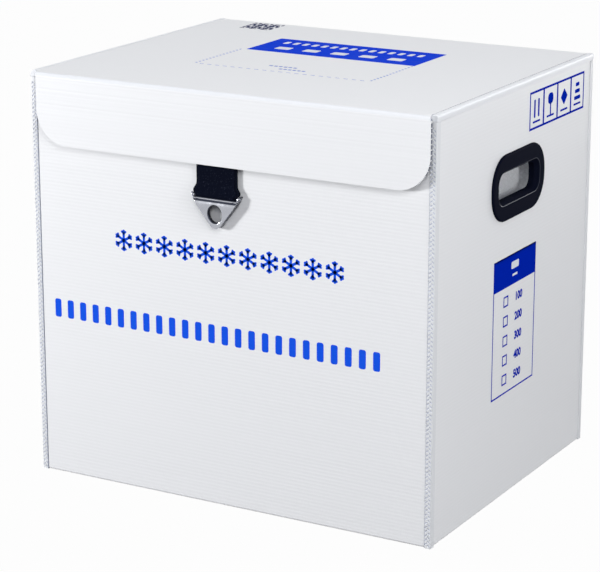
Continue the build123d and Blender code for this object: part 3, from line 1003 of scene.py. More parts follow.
    def rear_crease(self) -> None:
        """The crease that joins the back panel to the lid."""
        lid_low, lid_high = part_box("lid_panel")
        bend = self.crease_radius * math.pi / 2
        start = lid_high.y - self.crease_radius
        shape = Shape()
        shape.block(Vector((lid_low.x, start, lid_low.z)), Vector((lid_high.x, start + bend, lid_high.z)))
        for k in range(1, self.crease_steps):
            shape.cut(start + bend * k / self.crease_steps, Axis.Y)
        fold(shape, Vector((0.0, start, lid_high.z - self.crease_radius)), self.crease_radius, 1.0)
        made = shape.piece("rear_crease", [BOARD_X], "hollow_board", None)
        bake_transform(made)


def fold(shape: Shape, centre: Vector, radius: float, way: float) -> None:
    """Fold a level sheet down round a bend, as a creased board folds.

    Args:
        shape: The sheet. Its outer skin lies one radius above the bend's centre.
        centre: A point of the bend's axis, which runs along X.
        radius: The bend's radius at the outer skin.
        way: 1 to fold the part towards +Y, -1 the part towards -Y.
    """
    for vert in shape.bm.verts:
        beyond = (vert.co.y - centre.y) * way
        if beyond <= 0:
            continue
        reach = vert.co.z - centre.z
        angle = min(beyond / radius, math.pi / 2)
        spare = beyond - angle * radius
        vert.co.y = centre.y + way * reach * math.sin(angle)
        vert.co.z = centre.z + reach * math.cos(angle) - spare


@dataclass
class LidAndFlap:
    """The lid and its front flap: one board, creased, with open flutes at its cut ends."""

    pitch: float = 5.5 * MM
    crease_radius: float = 4.5 * MM
    crease_steps: int = 8
    corner_radius: float = 38.0 * MM
    corner_steps: int = 16
    rib_half: float = 0.28 * MM
    shoulder: float = 1.2 * MM
    relief: float = 0.06 * MM
    rim_round: float = 0.4 * MM
    skin: float = 0.3 * MM
    mouth_depth: float = 14.0 * MM
    ramp: float = 6.0 * MM

    def __post_init__(self) -> None:
        """Read the lid's and the flap's boxes."""
        self.lid_low, self.lid_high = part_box("lid_panel")
        self.flap_low, self.flap_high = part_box("flap_panel")
        self.bend_y = self.flap_low.y + self.crease_radius
        self.bend_z = self.lid_high.z - self.crease_radius
        self.bend_end = self.bend_y - self.crease_radius * math.pi / 2
        self.tip = self.bend_end - (self.bend_z - self.flap_low.z)
        self.rear = self.lid_high.y - self.crease_radius

    def edge(self, y: float, right: bool) -> float:
        """Where one cut end of the flat sheet lies.

        Args:
            y: The place along the flat sheet.
            right: Whether it is the right end.

        Returns:
            The end's x.
        """
        lid = self.lid_high.x if right else self.lid_low.x
        flap = self.flap_high.x if right else self.flap_low.x
        if y > self.bend_end:
            start = self.bend_y + self.ramp
            share = (start - y) / (start - self.bend_end)
            return lid + (flap - lid) * min(1.0, max(0.0, share))
        beyond = max(0.0, self.tip + self.corner_radius - y)
        cut = self.corner_radius - math.sqrt(max(0.0, self.corner_radius**2 - beyond**2))
        return flap - cut if right else flap + cut

    def ribs(self) -> list[float]:
        """Place the ribs of the lid and the flap.

        Returns:
            Where they lie along the flat sheet.
        """
        lid_count = int((self.rear - self.bend_y) / self.pitch)
        flap_count = int((self.bend_end - self.tip) / self.pitch)
        lid = [self.rear - self.pitch * (k + 0.5) for k in range(lid_count)]
        flap = [self.bend_end - self.pitch * (k + 0.35) for k in range(flap_count + 1)]
        return lid + [y for y in flap if y > self.tip + 2 * self.rib_half]

    def build(self) -> None:
        """Build the sheet flat, open its flutes and fold the flap down round the crease."""
        shape = Shape()
        half = max(self.lid_high.x, self.flap_high.x)
        thick = self.lid_high.z - self.lid_low.z
        top = self.lid_high.z
        shape.block(Vector((-half, self.tip, top - thick)), Vector((half, self.rear, top)))
        ribs = self.ribs()
        for rib in ribs:
            for offset in (-self.shoulder, -self.rib_half, self.rib_half, self.shoulder):
                if rib + offset > self.tip:
                    shape.cut(rib + offset, Axis.Y)
        for k in range(self.crease_steps + 1):
            shape.cut(self.bend_y + (self.bend_end - self.bend_y) * k / self.crease_steps, Axis.Y)
        for k in range(1, self.corner_steps):
            turn = math.pi / 2 * k / self.corner_steps
            shape.cut(self.tip + self.corner_radius * (1 - math.cos(turn)), Axis.Y)
        for vert in shape.bm.verts:
            vert.co.x = self.edge(vert.co.y, vert.co.x > 0)
        shape.join_close()
        shape.round(shape.sharp_edges(60), self.rim_round, 2)
        self.open_flutes(shape, ribs)
        for vert in shape.bm.verts:
            if any(abs(abs(vert.co.y - rib) - self.rib_half) < TOUCH for rib in ribs):
                if abs(vert.co.z - top) < TOUCH:
                    vert.co.z -= self.relief
                elif abs(vert.co.z - top + thick) < TOUCH:
                    vert.co.z += self.relief
        fold(shape, Vector((0.0, self.bend_y, self.bend_z)), self.crease_radius, -1.0)
        shape.bm.normal_update()
        # Faces at the lid's cut ends that turn upwards get the painted gap shade, standing for the shade in
        # the gap beside the hem; the bend's faces get the creased finish.
        for face in shape.bm.faces:
            if face.normal.y < -0.15 and face.normal.z > 0.15:
                face.material_index = 2
            elif abs(face.normal.x) > 0.3 and face.normal.z > 0.2:
                face.material_index = 1
        finishes = [BOARD_X, PAINTED_GAP_SHADE, CREASE]
        made = shape.piece("lid_and_flap", finishes, "hollow_board", None, ["lid_panel", "flap_panel"])
        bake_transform(made)

    def open_flutes(self, shape: Shape, ribs: Sequence[float]) -> None:
        """Sink a mouth into the cut ends between each pair of ribs.

        Args:
            shape: The flat sheet.
            ribs: Where its ribs lie.
        """
        shape.bm.normal_update()
        ordered = sorted(ribs)
        for first, second in zip(ordered, ordered[1:]):
            if second - first > 1.5 * self.pitch:
                continue
            for way in (-1, 1):
                wall = [
                    f
                    for f in shape.faces_to(Axis.X, way, 0.8)
                    if first + self.rib_half < f.calc_center_median().y < second - self.rib_half
                    and abs(f.normal.z) < 0.2
                ]
                if not wall:
                    continue
                shape.inset(wall, self.skin, even=True)
                pushed = bmesh.ops.extrude_face_region(shape.bm, geom=wall)["geom"]
                verts = only(Vert, pushed)
                shape.remove(wall)
                shape.move(verts, Axis.X.vector(-way * self.mouth_depth))
                # The mouths' walls get the painted gap shade, standing for the shade inside the open
                # flutes.
                for face in {f for v in verts for f in v.link_faces}:
                    face.material_index = 1


# -------- hand holds
@dataclass(frozen=True)
class Outline:
    """One rounded outline of a moulding: how far in it lies, its size and its corners."""

    depth: float
    width: float
    height: float
    radius: float

    def grown(self, by: float, depth: float) -> "Outline":
        """The same outline, larger by a margin all round, at another depth."""
        return Outline(depth, self.width + 2 * by, self.height + 2 * by, self.radius + by)


@dataclass
class HandHold:
    """A moulded hand hold: flange, stepped mouth, funnel and sleeve, with its clip behind."""

    side: Side
    flange: float = 2.6 * MM
    edge_round: float = 1.8 * MM
    edge_steps: int = 5
    corner_steps: int = 8
    lip: float = 0.7 * MM
    lip_drop: float = 0.35 * MM
    funnel: float = 5.0 * MM
    sleeve_wall: float = 5.0 * MM
    end_round: float = 0.6 * MM
    splay: tuple[float, float] = mm(5.0, 3.2)
    border: tuple[float, float] = mm(13.2, 18.0)
    side_flat: float = 3.5 * MM
    end_flat: float = 4.5 * MM
    throat: tuple[float, float] = mm(0.175, 1.2)
    clip_round: float = 0.6 * MM

    def __post_init__(self) -> None:
        """Read the hand hold's place from its nodes."""
        low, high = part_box(f"{self.side.word}_handle_frame")
        self.centre = (low + high) / 2
        self.size = (high.y - low.y, high.z - low.z)
        self.centre.x = high.x if self.side is Side.RIGHT else low.x
        self.reach = high.x - low.x

    def outlines(self) -> list[Outline]:
        """List the outlines that the moulding is drawn through.

        Returns:
            The outlines, from the flange's back edge over its face and through to the sleeve's.
        """
        width, height = self.size
        outer = Outline(self.flange, width, height, height / 2 - self.side_flat)
        made = [outer]
        for k in range(self.edge_steps + 1):
            turn = math.pi / 2 * k / self.edge_steps
            inset = self.edge_round * (1 - math.cos(turn))
            made.append(outer.grown(-inset, self.edge_round * (1 - math.sin(turn))))
        width -= 2 * self.border[0]
        height -= 2 * self.border[1]
        mouth = Outline(self.lip_drop, width, height, height / 2 - self.end_flat)
        width -= 2 * self.splay[0]
        height -= 2 * self.splay[1]
        grip = Outline(self.funnel, width, height, height / 2 - self.end_flat)
        narrow, deep = self.throat
        made += [mouth.grown(self.lip, 0.0), mouth, mouth.grown(-narrow, deep), grip]
        made.append(grip.grown(0.0, self.reach - self.end_round))
        made.append(grip.grown(self.end_round, self.reach))
        sleeve = grip.grown(self.sleeve_wall, self.reach)
        made.append(sleeve.grown(-self.end_round, self.reach))
        made.append(sleeve.grown(0.0, self.reach - self.end_round))
        made.append(sleeve.grown(0.0, self.flange))
        return made

    def carried(self, point: Vector, before: Outline, after: Outline) -> Vector:
        """Where a point of one outline lies on the next.

        Args:
            point: The point.
            before: Its outline.
            after: The next outline.

        Returns:
            The matching point.
        """
        from_middle = point - self.centre
        moved = Vector((self.centre.x - self.side.value * after.depth, 0.0, 0.0))
        for axis, old, new in ((1, before.width, after.width), (2, before.height, after.height)):
            sign = math.copysign(1.0, from_middle[axis])
            share = (abs(from_middle[axis]) - old / 2 + before.radius) / before.radius
            moved[axis] = self.centre[axis] + sign * (new / 2 - after.radius + share * after.radius)
        return moved

    def build(self) -> None:
        """Build the frame and the clip behind it."""
        shape = Shape()
        outlines = self.outlines()
        first = outlines[0]
        centre = self.centre - Vector((self.side.value * first.depth, 0.0, 0.0))
        size = (first.width, first.height)
        face = shape.rectangle(centre, Axis.Y, Axis.Z, size, first.radius, self.corner_steps)
        loop = list(face.edges)
        shape.remove([face], keep_edges=True)
        for before, after in zip(outlines, outlines[1:] + [first]):
            made = bmesh.ops.extrude_edge_only(shape.bm, edges=loop)["geom"]
            loop = only(Edge, made)
            for vert in only(Vert, made):
                vert.co = self.carried(vert.co, before, after)
            # The lip's slope gets the lighter finish: a painted highlight line with some real gloss.
            for face in only(Face, made):
                face.material_index = int(after.depth == self.lip_drop)
        shape.join_close()
        shape.outwards()
        name = self.side.word
        node = f"{name}_handle_frame"
        finishes = [MOULDED_BLACK, LIP_HIGHLIGHT]
        shape.piece(f"{name}_hand_hold", finishes, "handle_plastic", "carton", [node])
        node = f"{name}_handle_clip"
        dress = (MOULDED_BLACK, "handle_plastic")
        soften(node, f"{name}_hand_hold_clip", dress, "carton", self.clip_round)


# -------- strap and clasp
def smooth(value: float) -> float:
    """Ease from 0 to 1, held outside that range."""
    held = min(1.0, max(0.0, value))
    return held * held * (3 - 2 * held)


def band(
    line: Sequence[tuple[float, float]],
    half_widths: Sequence[float],
    thickness: float,
    edge_round: float,
    middle: float,
) -> Shape:
    """A flat strap that follows a line in an upright plane.

    Args:
        line: The line's points as (y, z).
        half_widths: Half the strap's width at each point.
        thickness: Its thickness.
        edge_round: The rounding of its long edges.
        middle: The x of its middle.

    Returns:
        The shape.
    """
    points = [Vector((0.0, y, z)) for y, z in line]
    last = len(points) - 1
    widest = max(half_widths)
    shape = Shape()
    shape.block(Vector((-widest, -thickness / 2, 0.0)), Vector((widest, thickness / 2, last * MM)))
    shape.round(shape.edges_at(Axis.Z, {}), edge_round, 3)
    for k in range(1, last):
        shape.cut(k * MM, Axis.Z)
    for vert in shape.bm.verts:
        k = round(vert.co.z / MM)
        run = (points[min(k + 1, last)] - points[max(k - 1, 0)]).normalized()
        outward = Vector((0.0, run.z, -run.y))
        spare = widest - abs(vert.co.x)
        x = middle + math.copysign(half_widths[k] - spare, vert.co.x)
        vert.co = points[k] - outward * vert.co.y + Vector((x, 0.0, 0.0))
    shape.outwards()
    return shape


class Stitching:
    """Rows of raised stitches on a flat face."""

    length = 2.6 * MM
    gap = 1.1 * MM
    width = 0.55 * MM
    height = 0.5 * MM
    edge_round = 0.16 * MM

    def __init__(self, normal: Vector) -> None:
        """Start with no stitches.

        Args:
            normal: Which way the face looks.
        """
        self.shape = Shape()
        self.normal = normal

    def row(self, start: Vector, end: Vector) -> None:
        """Sew a row.

        Args:
            start: Where it starts.
            end: Where it ends.
        """
        run = end - start
        along = run.normalized()
        across = self.normal.cross(along)
        count = max(1, round(run.length / (self.length + self.gap)))
        turn = Matrix((along, across, self.normal)).transposed().to_4x4()
        size = Matrix.Diagonal((self.length, self.width, self.height, 1.0))
        for k in range(count):
            middle = start + run * ((k + 0.5) / count)
            place = Matrix.Translation(middle) @ turn @ size
            bmesh.ops.create_cube(self.shape.bm, size=1.0, matrix=place)

    def rectangle(self, low: Vector, high: Vector, crossed: bool = False) -> None:
        """Sew round a flat rectangle, and across it from corner to corner if wanted.

        Args:
            low: Its lowest corner.
            high: Its highest corner.
            crossed: Whether the diagonals are sewn too.
        """
        flat = next(axis for axis in Axis if abs(self.normal[axis.value]) > 0.5)
        first, second = [axis.value for axis in Axis if axis is not flat]
        corners = [low.copy() for k in range(4)]
        for corner, (share_a, share_b) in zip(corners, ((0, 0), (1, 0), (1, 1), (0, 1))):
            corner[first] += (high - low)[first] * share_a
            corner[second] += (high - low)[second] * share_b
        for start, end in zip(corners, corners[1:] + corners[:1]):
            self.row(start, end)
        if crossed:
            self.row(corners[0], corners[2])
            self.row(corners[1], corners[3])

    def piece(self, name: str, finish: Finish, slot: str, body: str) -> None:
        """Round the stitches and finish them as a piece."""
        self.shape.round(self.shape.bm.edges, self.edge_round, 1)
        self.shape.piece(name, [finish], slot, body, crisp=80.0, weighted=False)


@dataclass
class PullStrap:
    """Black webbing folded round the clasp's bar, faced with a narrower pile tape."""

    webbing: float = 1.35 * MM
    pile: float = 0.8 * MM
    pile_inset: float = 3.0 * MM
    bar_clearance: float = 0.08 * MM
    settle: float = 16.0 * MM
    flare: float = 3.2 * MM
    flare_above_bar: float = 5.0 * MM
    flare_rise: float = 7.5 * MM
    flare_fall: float = 4.5 * MM
    squeeze: float = 0.4 * MM
    arc_steps: int = 12
    leg_steps: int = 36
    webbing_round: float = 0.42 * MM
    pile_round: float = 0.25 * MM
    pile_overlap: float = 0.6 * MM
    seam_margin: float = 4.0 * MM
    bend_reach: float = 5.0 * MM

    def __post_init__(self) -> None:
        """Read the strap's place from its nodes."""
        self.low, self.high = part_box("strap_anchor")
        bar_low, bar_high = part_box("clasp_bar")
        self.bar = (bar_low + bar_high) / 2
        self.bar_radius = (bar_high.z - bar_low.z) / 2 + self.bar_clearance
        self.middle = (self.low.x + self.high.x) / 2
        self.half = (self.high.x - self.low.x) / 2
        self.pivot = frame_joint("strap_swing")

    def half_width(self, z: float) -> float:
        """Work out how the strap spreads over the clasp's ears.

        Args:
            z: A height.

        Returns:
            Half the strap's width there.
        """
        peak = self.bar.z + self.flare_above_bar
        if z > peak:
            return self.half + self.flare * (1 - smooth((z - peak) / self.flare_rise))
        end = self.half + self.squeeze
        return end + (self.half + self.flare - end) * (1 - smooth((peak - z) / self.flare_fall))

    def leg(self, y_top: float, y_bar: float, z_top: float) -> list[tuple[float, float]]:
        """Lead one leg from the strap's top down to the level of the bar.

        Args:
            y_top: Its y at the top.
            y_bar: Its y beside the bar.
            z_top: The height of its top.

        Returns:
            Its points as (y, z).
        """
        made = []
        for k in range(self.leg_steps + 1):
            share = 1 - (1 - k / self.leg_steps) ** 1.6
            z = z_top + (self.bar.z - z_top) * share
            settled = smooth((self.bar.z + self.settle - z) / self.settle)
            made.append((y_top + (y_bar - y_top) * settled, z))
        return made

    def arc(self, radius: float, turn: float) -> list[tuple[float, float]]:
        """Lead the strap under the bar, from the front.

        Args:
            radius: Its distance from the bar's axis.
            turn: How far it goes round.

        Returns:
            Its points as (y, z).
        """
        made = []
        for k in range(1, self.arc_steps + 1):
            angle = turn * k / self.arc_steps
            made.append((self.bar.y - radius * math.cos(angle), self.bar.z - radius * math.sin(angle)))
        return made

    def build(self) -> None:
        """Build the webbing, the pile tape and the stitching."""
        radius = self.bar_radius + self.webbing / 2
        front_y = self.low.y + self.pile + self.webbing / 2
        rear_y = self.high.y - self.webbing / 2
        front = self.leg(front_y, self.bar.y - radius, self.high.z)
        rear = self.leg(rear_y, self.bar.y + radius, self.high.z)
        line = front + self.arc(radius, math.pi) + rear[-2::-1]
        halves = [self.half_width(z) for y, z in front]
        halves += [self.half + self.squeeze] * self.arc_steps
        halves += [self.half_width(z) - self.pile for y, z in rear[-2::-1]]
        webbing = band(line, halves, self.webbing, self.webbing_round, self.middle)
        nodes = ["strap", "strap_anchor"]
        self.bend(webbing.piece("pull_strap", [WEBBING], "webbing", None, nodes, crisp=60.0))

        outer = radius + (self.webbing + self.pile) / 2
        top = self.low.z - self.pile_overlap
        line = self.leg(self.low.y + self.pile / 2, self.bar.y - outer, top)
        line += self.arc(outer, math.pi * 0.3)
        halves = [self.half_width(max(z, self.bar.z)) - self.pile_inset for y, z in line]
        facing = band(line, halves, self.pile, self.pile_round, self.middle)
        self.bend(facing.piece("strap_facing", [HOOK_BLACK], "webbing", None, crisp=60.0))

        sewn = Stitching(Axis.Y.vector())
        rear_face = self.high.y + sewn.height * 0.1
        margin = self.seam_margin
        low = Vector((self.low.x + margin, rear_face, self.low.z + 2 * margin))
        high = Vector((self.high.x - margin, rear_face, self.high.z - margin))
        sewn.rectangle(low, high, crossed=True)
        sewn.piece("strap_stitching", THREAD_BLACK, "webbing", "flap")

    def bend(self, made: bpy.types.Object) -> None:
        """Bake a piece's place into its mesh."""
        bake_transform(made)


@dataclass
class Clasp:
    """A pressed steel clasp: folded rim, crimped ears, rolled band and a drawn eye."""

    sheet: float = 0.9 * MM
    roll: float = 0.7 * MM
    roll_steps: int = 5
    shoulder_above_tip: float = 26.3 * MM
    shoulder_half: float = 24.6 * MM
    ear_inner_half: float = 27.2 * MM
    mouth_half: float = 26.0 * MM
    mouth_below_top: float = 4.6 * MM
    tip_radius: float = 8.6 * MM
    eye_radius: float = 8.4 * MM
    eye_stretch: float = 1.14
    eye_lip: float = 1.5 * MM
    eye_depth: float = 4.4 * MM
    eye_above_tip: float = 15.6 * MM
    crown: float = 0.8 * MM
    band_slope: float = 0.24
    wave: float = 0.28 * MM
    crimp_pitch: float = 2.3 * MM
    crimp: float = 0.32 * MM
    crimp_slope: float = 0.45
    corner_steps: int = 6
    eye_segments: int = 40
    eye_steps: int = 6
    eye_neck: float = 0.2 * MM
    pin_round: float = 0.3 * MM

    def __post_init__(self) -> None:
        """Read the clasp's place from its node."""
        self.low, self.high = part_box("clasp_plate")
        self.middle = (self.low.x + self.high.x) / 2
        self.half = (self.high.x - self.low.x) / 2
        self.fold_z = self.low.z + self.shoulder_above_tip

    def outline(self, shape: Shape) -> Face:
        """Draw the front outline with its corners rounded, at the rear of the rolled edge.

        Args:
            shape: The empty shape.

        Returns:
            The face.
        """
        tip = self.low.z + self.tip_radius
        rise = self.fold_z - tip
        to_shoulder = math.hypot(self.shoulder_half, rise)
        half_angle = math.atan2(self.shoulder_half, rise) - math.asin(self.tip_radius / to_shoulder)
        apex = tip - self.tip_radius / math.sin(half_angle)
        mouth = self.high.z - self.mouth_below_top
        side = [
            (self.shoulder_half, self.fold_z, 3.0 * MM),
            (self.half, self.high.z, 1.7 * MM),
            (self.ear_inner_half, self.high.z, 1.2 * MM),
            (self.mouth_half, mouth, 1.2 * MM),
        ]
        y = self.low.y + self.roll
        corners = [(shape.bm.verts.new((0.0, y, apex)), self.tip_radius / math.tan(half_angle))]
        corners += [(shape.bm.verts.new((x, y, z)), r) for x, z, r in side]
        corners += [(shape.bm.verts.new((-x, y, z)), r) for x, z, r in reversed(side)]
        shape.bm.faces.new([vert for vert, radius in corners])
        for vert, radius in corners:
            shape.round([vert], radius, self.corner_steps)
        face = next(iter(shape.bm.faces))
        face.normal_update()
        if face.normal.y > 0:
            face.normal_flip()
        return face

    def build(self) -> None:
        """Press the plate, draw its eye, crimp it and give it its thickness."""
        shape = Shape()
        face = self.outline(shape)
        rim = bmesh.ops.extrude_edge_only(shape.bm, edges=list(face.edges))["geom"]
        shape.move(only(Vert, rim), Axis.Y.vector(self.high.y - self.low.y - self.roll))
        self.roll_edge(shape, face)
        self.draw_eye(shape, face)
        self.open_mouth(shape)
        self.crimp_rim(shape)
        self.fold_band(shape)
        self.paint_fold_shade(shape)
        shape.move(shape.bm.verts, Axis.X.vector(self.middle))
        shape.outwards()
        plate = max(shape.bm.faces, key=lambda f: f.calc_area())
        if plate.normal.y > 0:
            bmesh.ops.reverse_faces(shape.bm, faces=shape.bm.faces)
        finishes = [STEEL, STEEL_SHADE]
        options = {"crisp": 50.0, "weighted": False}
        made = shape.piece("clasp", finishes, "pressed_steel", "clasp", ["clasp_plate"], **options)
        wall = made.modifiers.new("sheet", "SOLIDIFY")
        wall.thickness = self.sheet
        wall.offset = -1.0
        self.pin()

    def pin(self) -> None:
        """Build the cross pin, with rounded ends."""
        low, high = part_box("clasp_bar")
        shape = Shape()
        turn = Matrix.Translation((low + high) / 2) @ Matrix.Rotation(math.pi / 2, 4, "Y")
        shape.cylinder(turn, (high.z - low.z) / 2, high.x - low.x, 24)
        shape.round(shape.sharp_edges(60), self.pin_round)
        shape.piece("clasp_pin", [STEEL], "pressed_steel", "clasp", ["clasp_bar"])

    def roll_edge(self, shape: Shape, face: Face) -> None:
        """Round the front edge in small steps inwards and forwards.

        Args:
            shape: The plate.
            face: Its front face.
        """
        for k in range(self.roll_steps):
            now = math.pi / 2 * k / self.roll_steps
            then = math.pi / 2 * (k + 1) / self.roll_steps
            width = self.roll * (math.cos(now) - math.cos(then))
            shape.inset([face], width, self.roll * (math.sin(then) - math.sin(now)), even=True)

    def draw_eye(self, shape: Shape, face: Face) -> None:
        """Replace the front face by one with a round, drawn eye.

        Args:
            shape: The plate.
            face: Its front face.
        """
        centre = Vector((0.0, self.low.y, self.low.z + self.eye_above_tip))
        edges = list(face.edges)
        shape.remove([face], keep_edges=True)
        turn = Matrix.Translation(centre) @ Matrix.Rotation(math.pi / 2, 4, "X")
        radius = self.eye_radius + self.eye_lip
        ring = bmesh.ops.create_circle(
            shape.bm, cap_ends=False, radius=radius, segments=self.eye_segments, matrix=turn
        )["verts"]
        for vert in ring:
            vert.co.z = centre.z + (vert.co.z - centre.z) * self.eye_stretch
        loop = list({edge for vert in ring for edge in vert.link_edges})
        bmesh.ops.triangle_fill(shape.bm, use_beauty=True, edges=edges + loop)
        stations = []
        for k in range(1, self.eye_steps + 1):
            angle = math.pi / 2 * k / self.eye_steps
            inner = self.eye_radius + self.eye_lip * (1 - math.sin(angle))
            stations.append((inner, self.eye_lip * (1 - math.cos(angle))))
        stations.append((self.eye_radius, self.eye_depth * 0.6))
        stations.append((self.eye_radius - self.eye_neck, self.eye_depth))
        depth = 0.0
        for next_radius, next_depth in stations:
            made = bmesh.ops.extrude_edge_only(shape.bm, edges=loop)["geom"]
            loop = only(Edge, made)
            share = next_radius / radius
            for vert in only(Vert, made):
                vert.co.x = centre.x + (vert.co.x - centre.x) * share
                vert.co.z = centre.z + (vert.co.z - centre.z) * share
                vert.co.y += next_depth - depth
            radius, depth = next_radius, next_depth

    def open_mouth(self, shape: Shape) -> None:
        """Take away the folded wall where the strap passes.

        Args:
            shape: The plate.
        """
        mouth = self.high.z - self.mouth_below_top
        shape.bm.normal_update()
        walls = []
        for face in shape.bm.faces:
            centre = face.calc_center_median()
            level = abs(centre.x) < self.mouth_half and abs(centre.z - mouth) < 1.0 * MM
            if level and centre.y > self.low.y + self.roll + 1.0 * MM:
                walls.append(face)
        shape.remove(walls)

    def crimp_rim(self, shape: Shape) -> None:
        """Press small pleats into the folded rim, where the sheet gathers at its bends.

        Args:
            shape: The plate.
        """
        count = int((self.high.z - self.low.z) / self.crimp_pitch)
        for sign in (-1, 1):
            for k in range(2 * count):
                z = self.low.z + self.crimp_pitch * (k / 2 + 0.5)
                normal = Vector((sign * self.crimp_slope, 0.0, 1.0)).normalized()
                point = Vector((sign * self.shoulder_half, 0.0, z))
                rim = [f for f in shape.bm.faces if self.is_rim(f.calc_center_median(), sign)]
                geom = {g for f in rim for g in (*f.verts, *f.edges, f)}
                push = self.crimp * (1 if k % 2 else -1) * 0.5
                for vert in shape.slice(geom, point, normal):
                    share = smooth((vert.co.y - self.low.y) / self.roll)
                    vert.co.x += sign * push * share

    def is_rim(self, centre: Vector, sign: int) -> bool:
        """Tell whether a face is of one side's folded rim, clear of the tip and the eye.

        Args:
            centre: The face's middle.
            sign: -1 for the left side, 1 for the right.

        Returns:
            Whether it is.
        """
        eye = Vector((0.0, 0.0, self.low.z + self.eye_above_tip))
        clear = (self.eye_radius + self.eye_lip) * self.eye_stretch + 0.5 * MM
        folded = centre.x * sign > self.tip_radius and centre.y > self.low.y + 0.02 * MM
        return folded and (eye - centre).xz.length > clear

    def paint_fold_shade(self, shape: Shape) -> None:
        """Paint shade on the pleats, the band's groove and the eye's inner wall with the dark steel.

        Args:
            shape: The plate.
        """
        top = self.high.z - self.mouth_below_top
        eye = Vector((0.0, 0.0, self.low.z + self.eye_above_tip))
        # Painted shade: the eye's inner wall, every other band along the pleated rim and a line across the
        # band get the dark steel.
        for face in shape.bm.faces:
            centre = face.calc_center_median()
            across = centre - eye
            if math.hypot(across.x, across.z / self.eye_stretch) < self.eye_radius + 0.4 * self.eye_lip:
                face.material_index = 1
            elif centre.y > self.low.y + 0.35 * self.roll:
                step = (centre.z - 0.45 * abs(centre.x)) / self.crimp_pitch
                face.material_index = int(step * 2) % 2
            elif 0.4 < (centre.z - self.fold_z) / (top - self.fold_z) < 0.6:
                face.material_index = 1

    def fold_band(self, shape: Shape) -> None:
        """Crown the plate along the fold, slope the band back and ripple it.

        Args:
            shape: The plate.
        """
        top = self.high.z - self.mouth_below_top
        levels = [self.fold_z - 1.2 * MM, self.fold_z - 0.4 * MM, self.fold_z + 0.5 * MM]
        ripples = [self.fold_z + (top - self.fold_z) * share for share in (0.32, 0.5, 0.68, 0.84)]
        for level in levels + ripples:
            shape.cut(level, Axis.Z)
        depth = self.high.y - self.low.y
        for vert in shape.bm.verts:
            z = vert.co.z
            front = smooth((self.high.y - vert.co.y) / depth)
            rise = self.crown * smooth((z - self.low.z) / (self.fold_z - self.low.z))
            if z > self.fold_z:
                rise -= self.band_slope * (z - self.fold_z)
            near = min(range(len(ripples)), key=lambda i: abs(z - ripples[i]))
            if abs(z - ripples[near]) < TOUCH:
                rise += self.wave * (1 if near % 2 else -1)
            vert.co.y -= rise * front


@dataclass
class FlapTapes:
    """Hook tape sewn to the flap and loop tape sewn to the carton."""

    seam_inset: float = 2.2 * MM
    edge_round: float = 0.5 * MM
    pile_rise: float = 0.4 * MM
    slopes: tuple[float, float] = mm(0.5, 0.6)

    def build(self) -> None:
        """Build both tapes of each side."""
        for side in Side:
            self.tape(f"loop_tape_{side.word}", LOOP_PILE, "carton", -1.0)
            self.tape(f"hook_tape_{side.word}", HOOK_PILE, "flap", 1.0)

    def tape(self, node: str, finish: Finish, body: str, way: float) -> None:
        """Build one tape and the seam round it.

        Args:
            node: The tape's node.
            finish: The tape's finish.
            body: The body that it is sewn to.
            way: 1 where its working face looks to +Y, -1 to -Y.
        """
        low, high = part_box(node)
        shape = copy_of(node, self.edge_round, 2)
        field = [shape.largest(Axis.Y, way)]
        shape.inset(field, self.seam_inset)
        shape.inset(field, self.slopes[0], -self.pile_rise)
        shape.inset(field, self.slopes[1], self.pile_rise)
        shape.piece(f"{node}_sewn", [finish], "hook_loop_tape", body, [node])
        sewn = Stitching(Axis.Y.vector(way))
        margin = Vector((self.seam_inset / 2, 0.0, self.seam_inset / 2))
        first, second = low + margin, high - margin
        first.y = second.y = high.y if way > 0 else low.y
        sewn.rectangle(first, second)
        sewn.piece(f"{node}_stitching", THREAD_WHITE, "hook_loop_tape", body)


# -------- inside
def frame_joint(name: str) -> Vector:
    """Where a joint's axis passes."""
    return Vector(next(joint["pos_m"] for joint in frame["joints"] if joint["name"] == name))


@dataclass
class Insulation:
    """The foam tub, the vacuum panels in its walls and the liner."""

    tub_round: float = 1.2 * MM
    wrap_round: float = 2.0 * MM
    liner_round: float = 0.7 * MM

    def build(self) -> None:
        """Soften and dress every insulating piece."""
        soften("foam_tub", "bead_foam_tub", (BEAD_FOAM, "foam"), "carton", self.tub_round)
        for place in ("front", "back", "left", "right", "bottom"):
            node = f"vacuum_panel_{place}"
            soften(node, f"{node}_wrapped", (FOIL, "barrier_film"), "carton", self.wrap_round, 4)
        soften("inner_liner", "moulded_liner", (LINER, "liner_plastic"), "carton", self.liner_round)


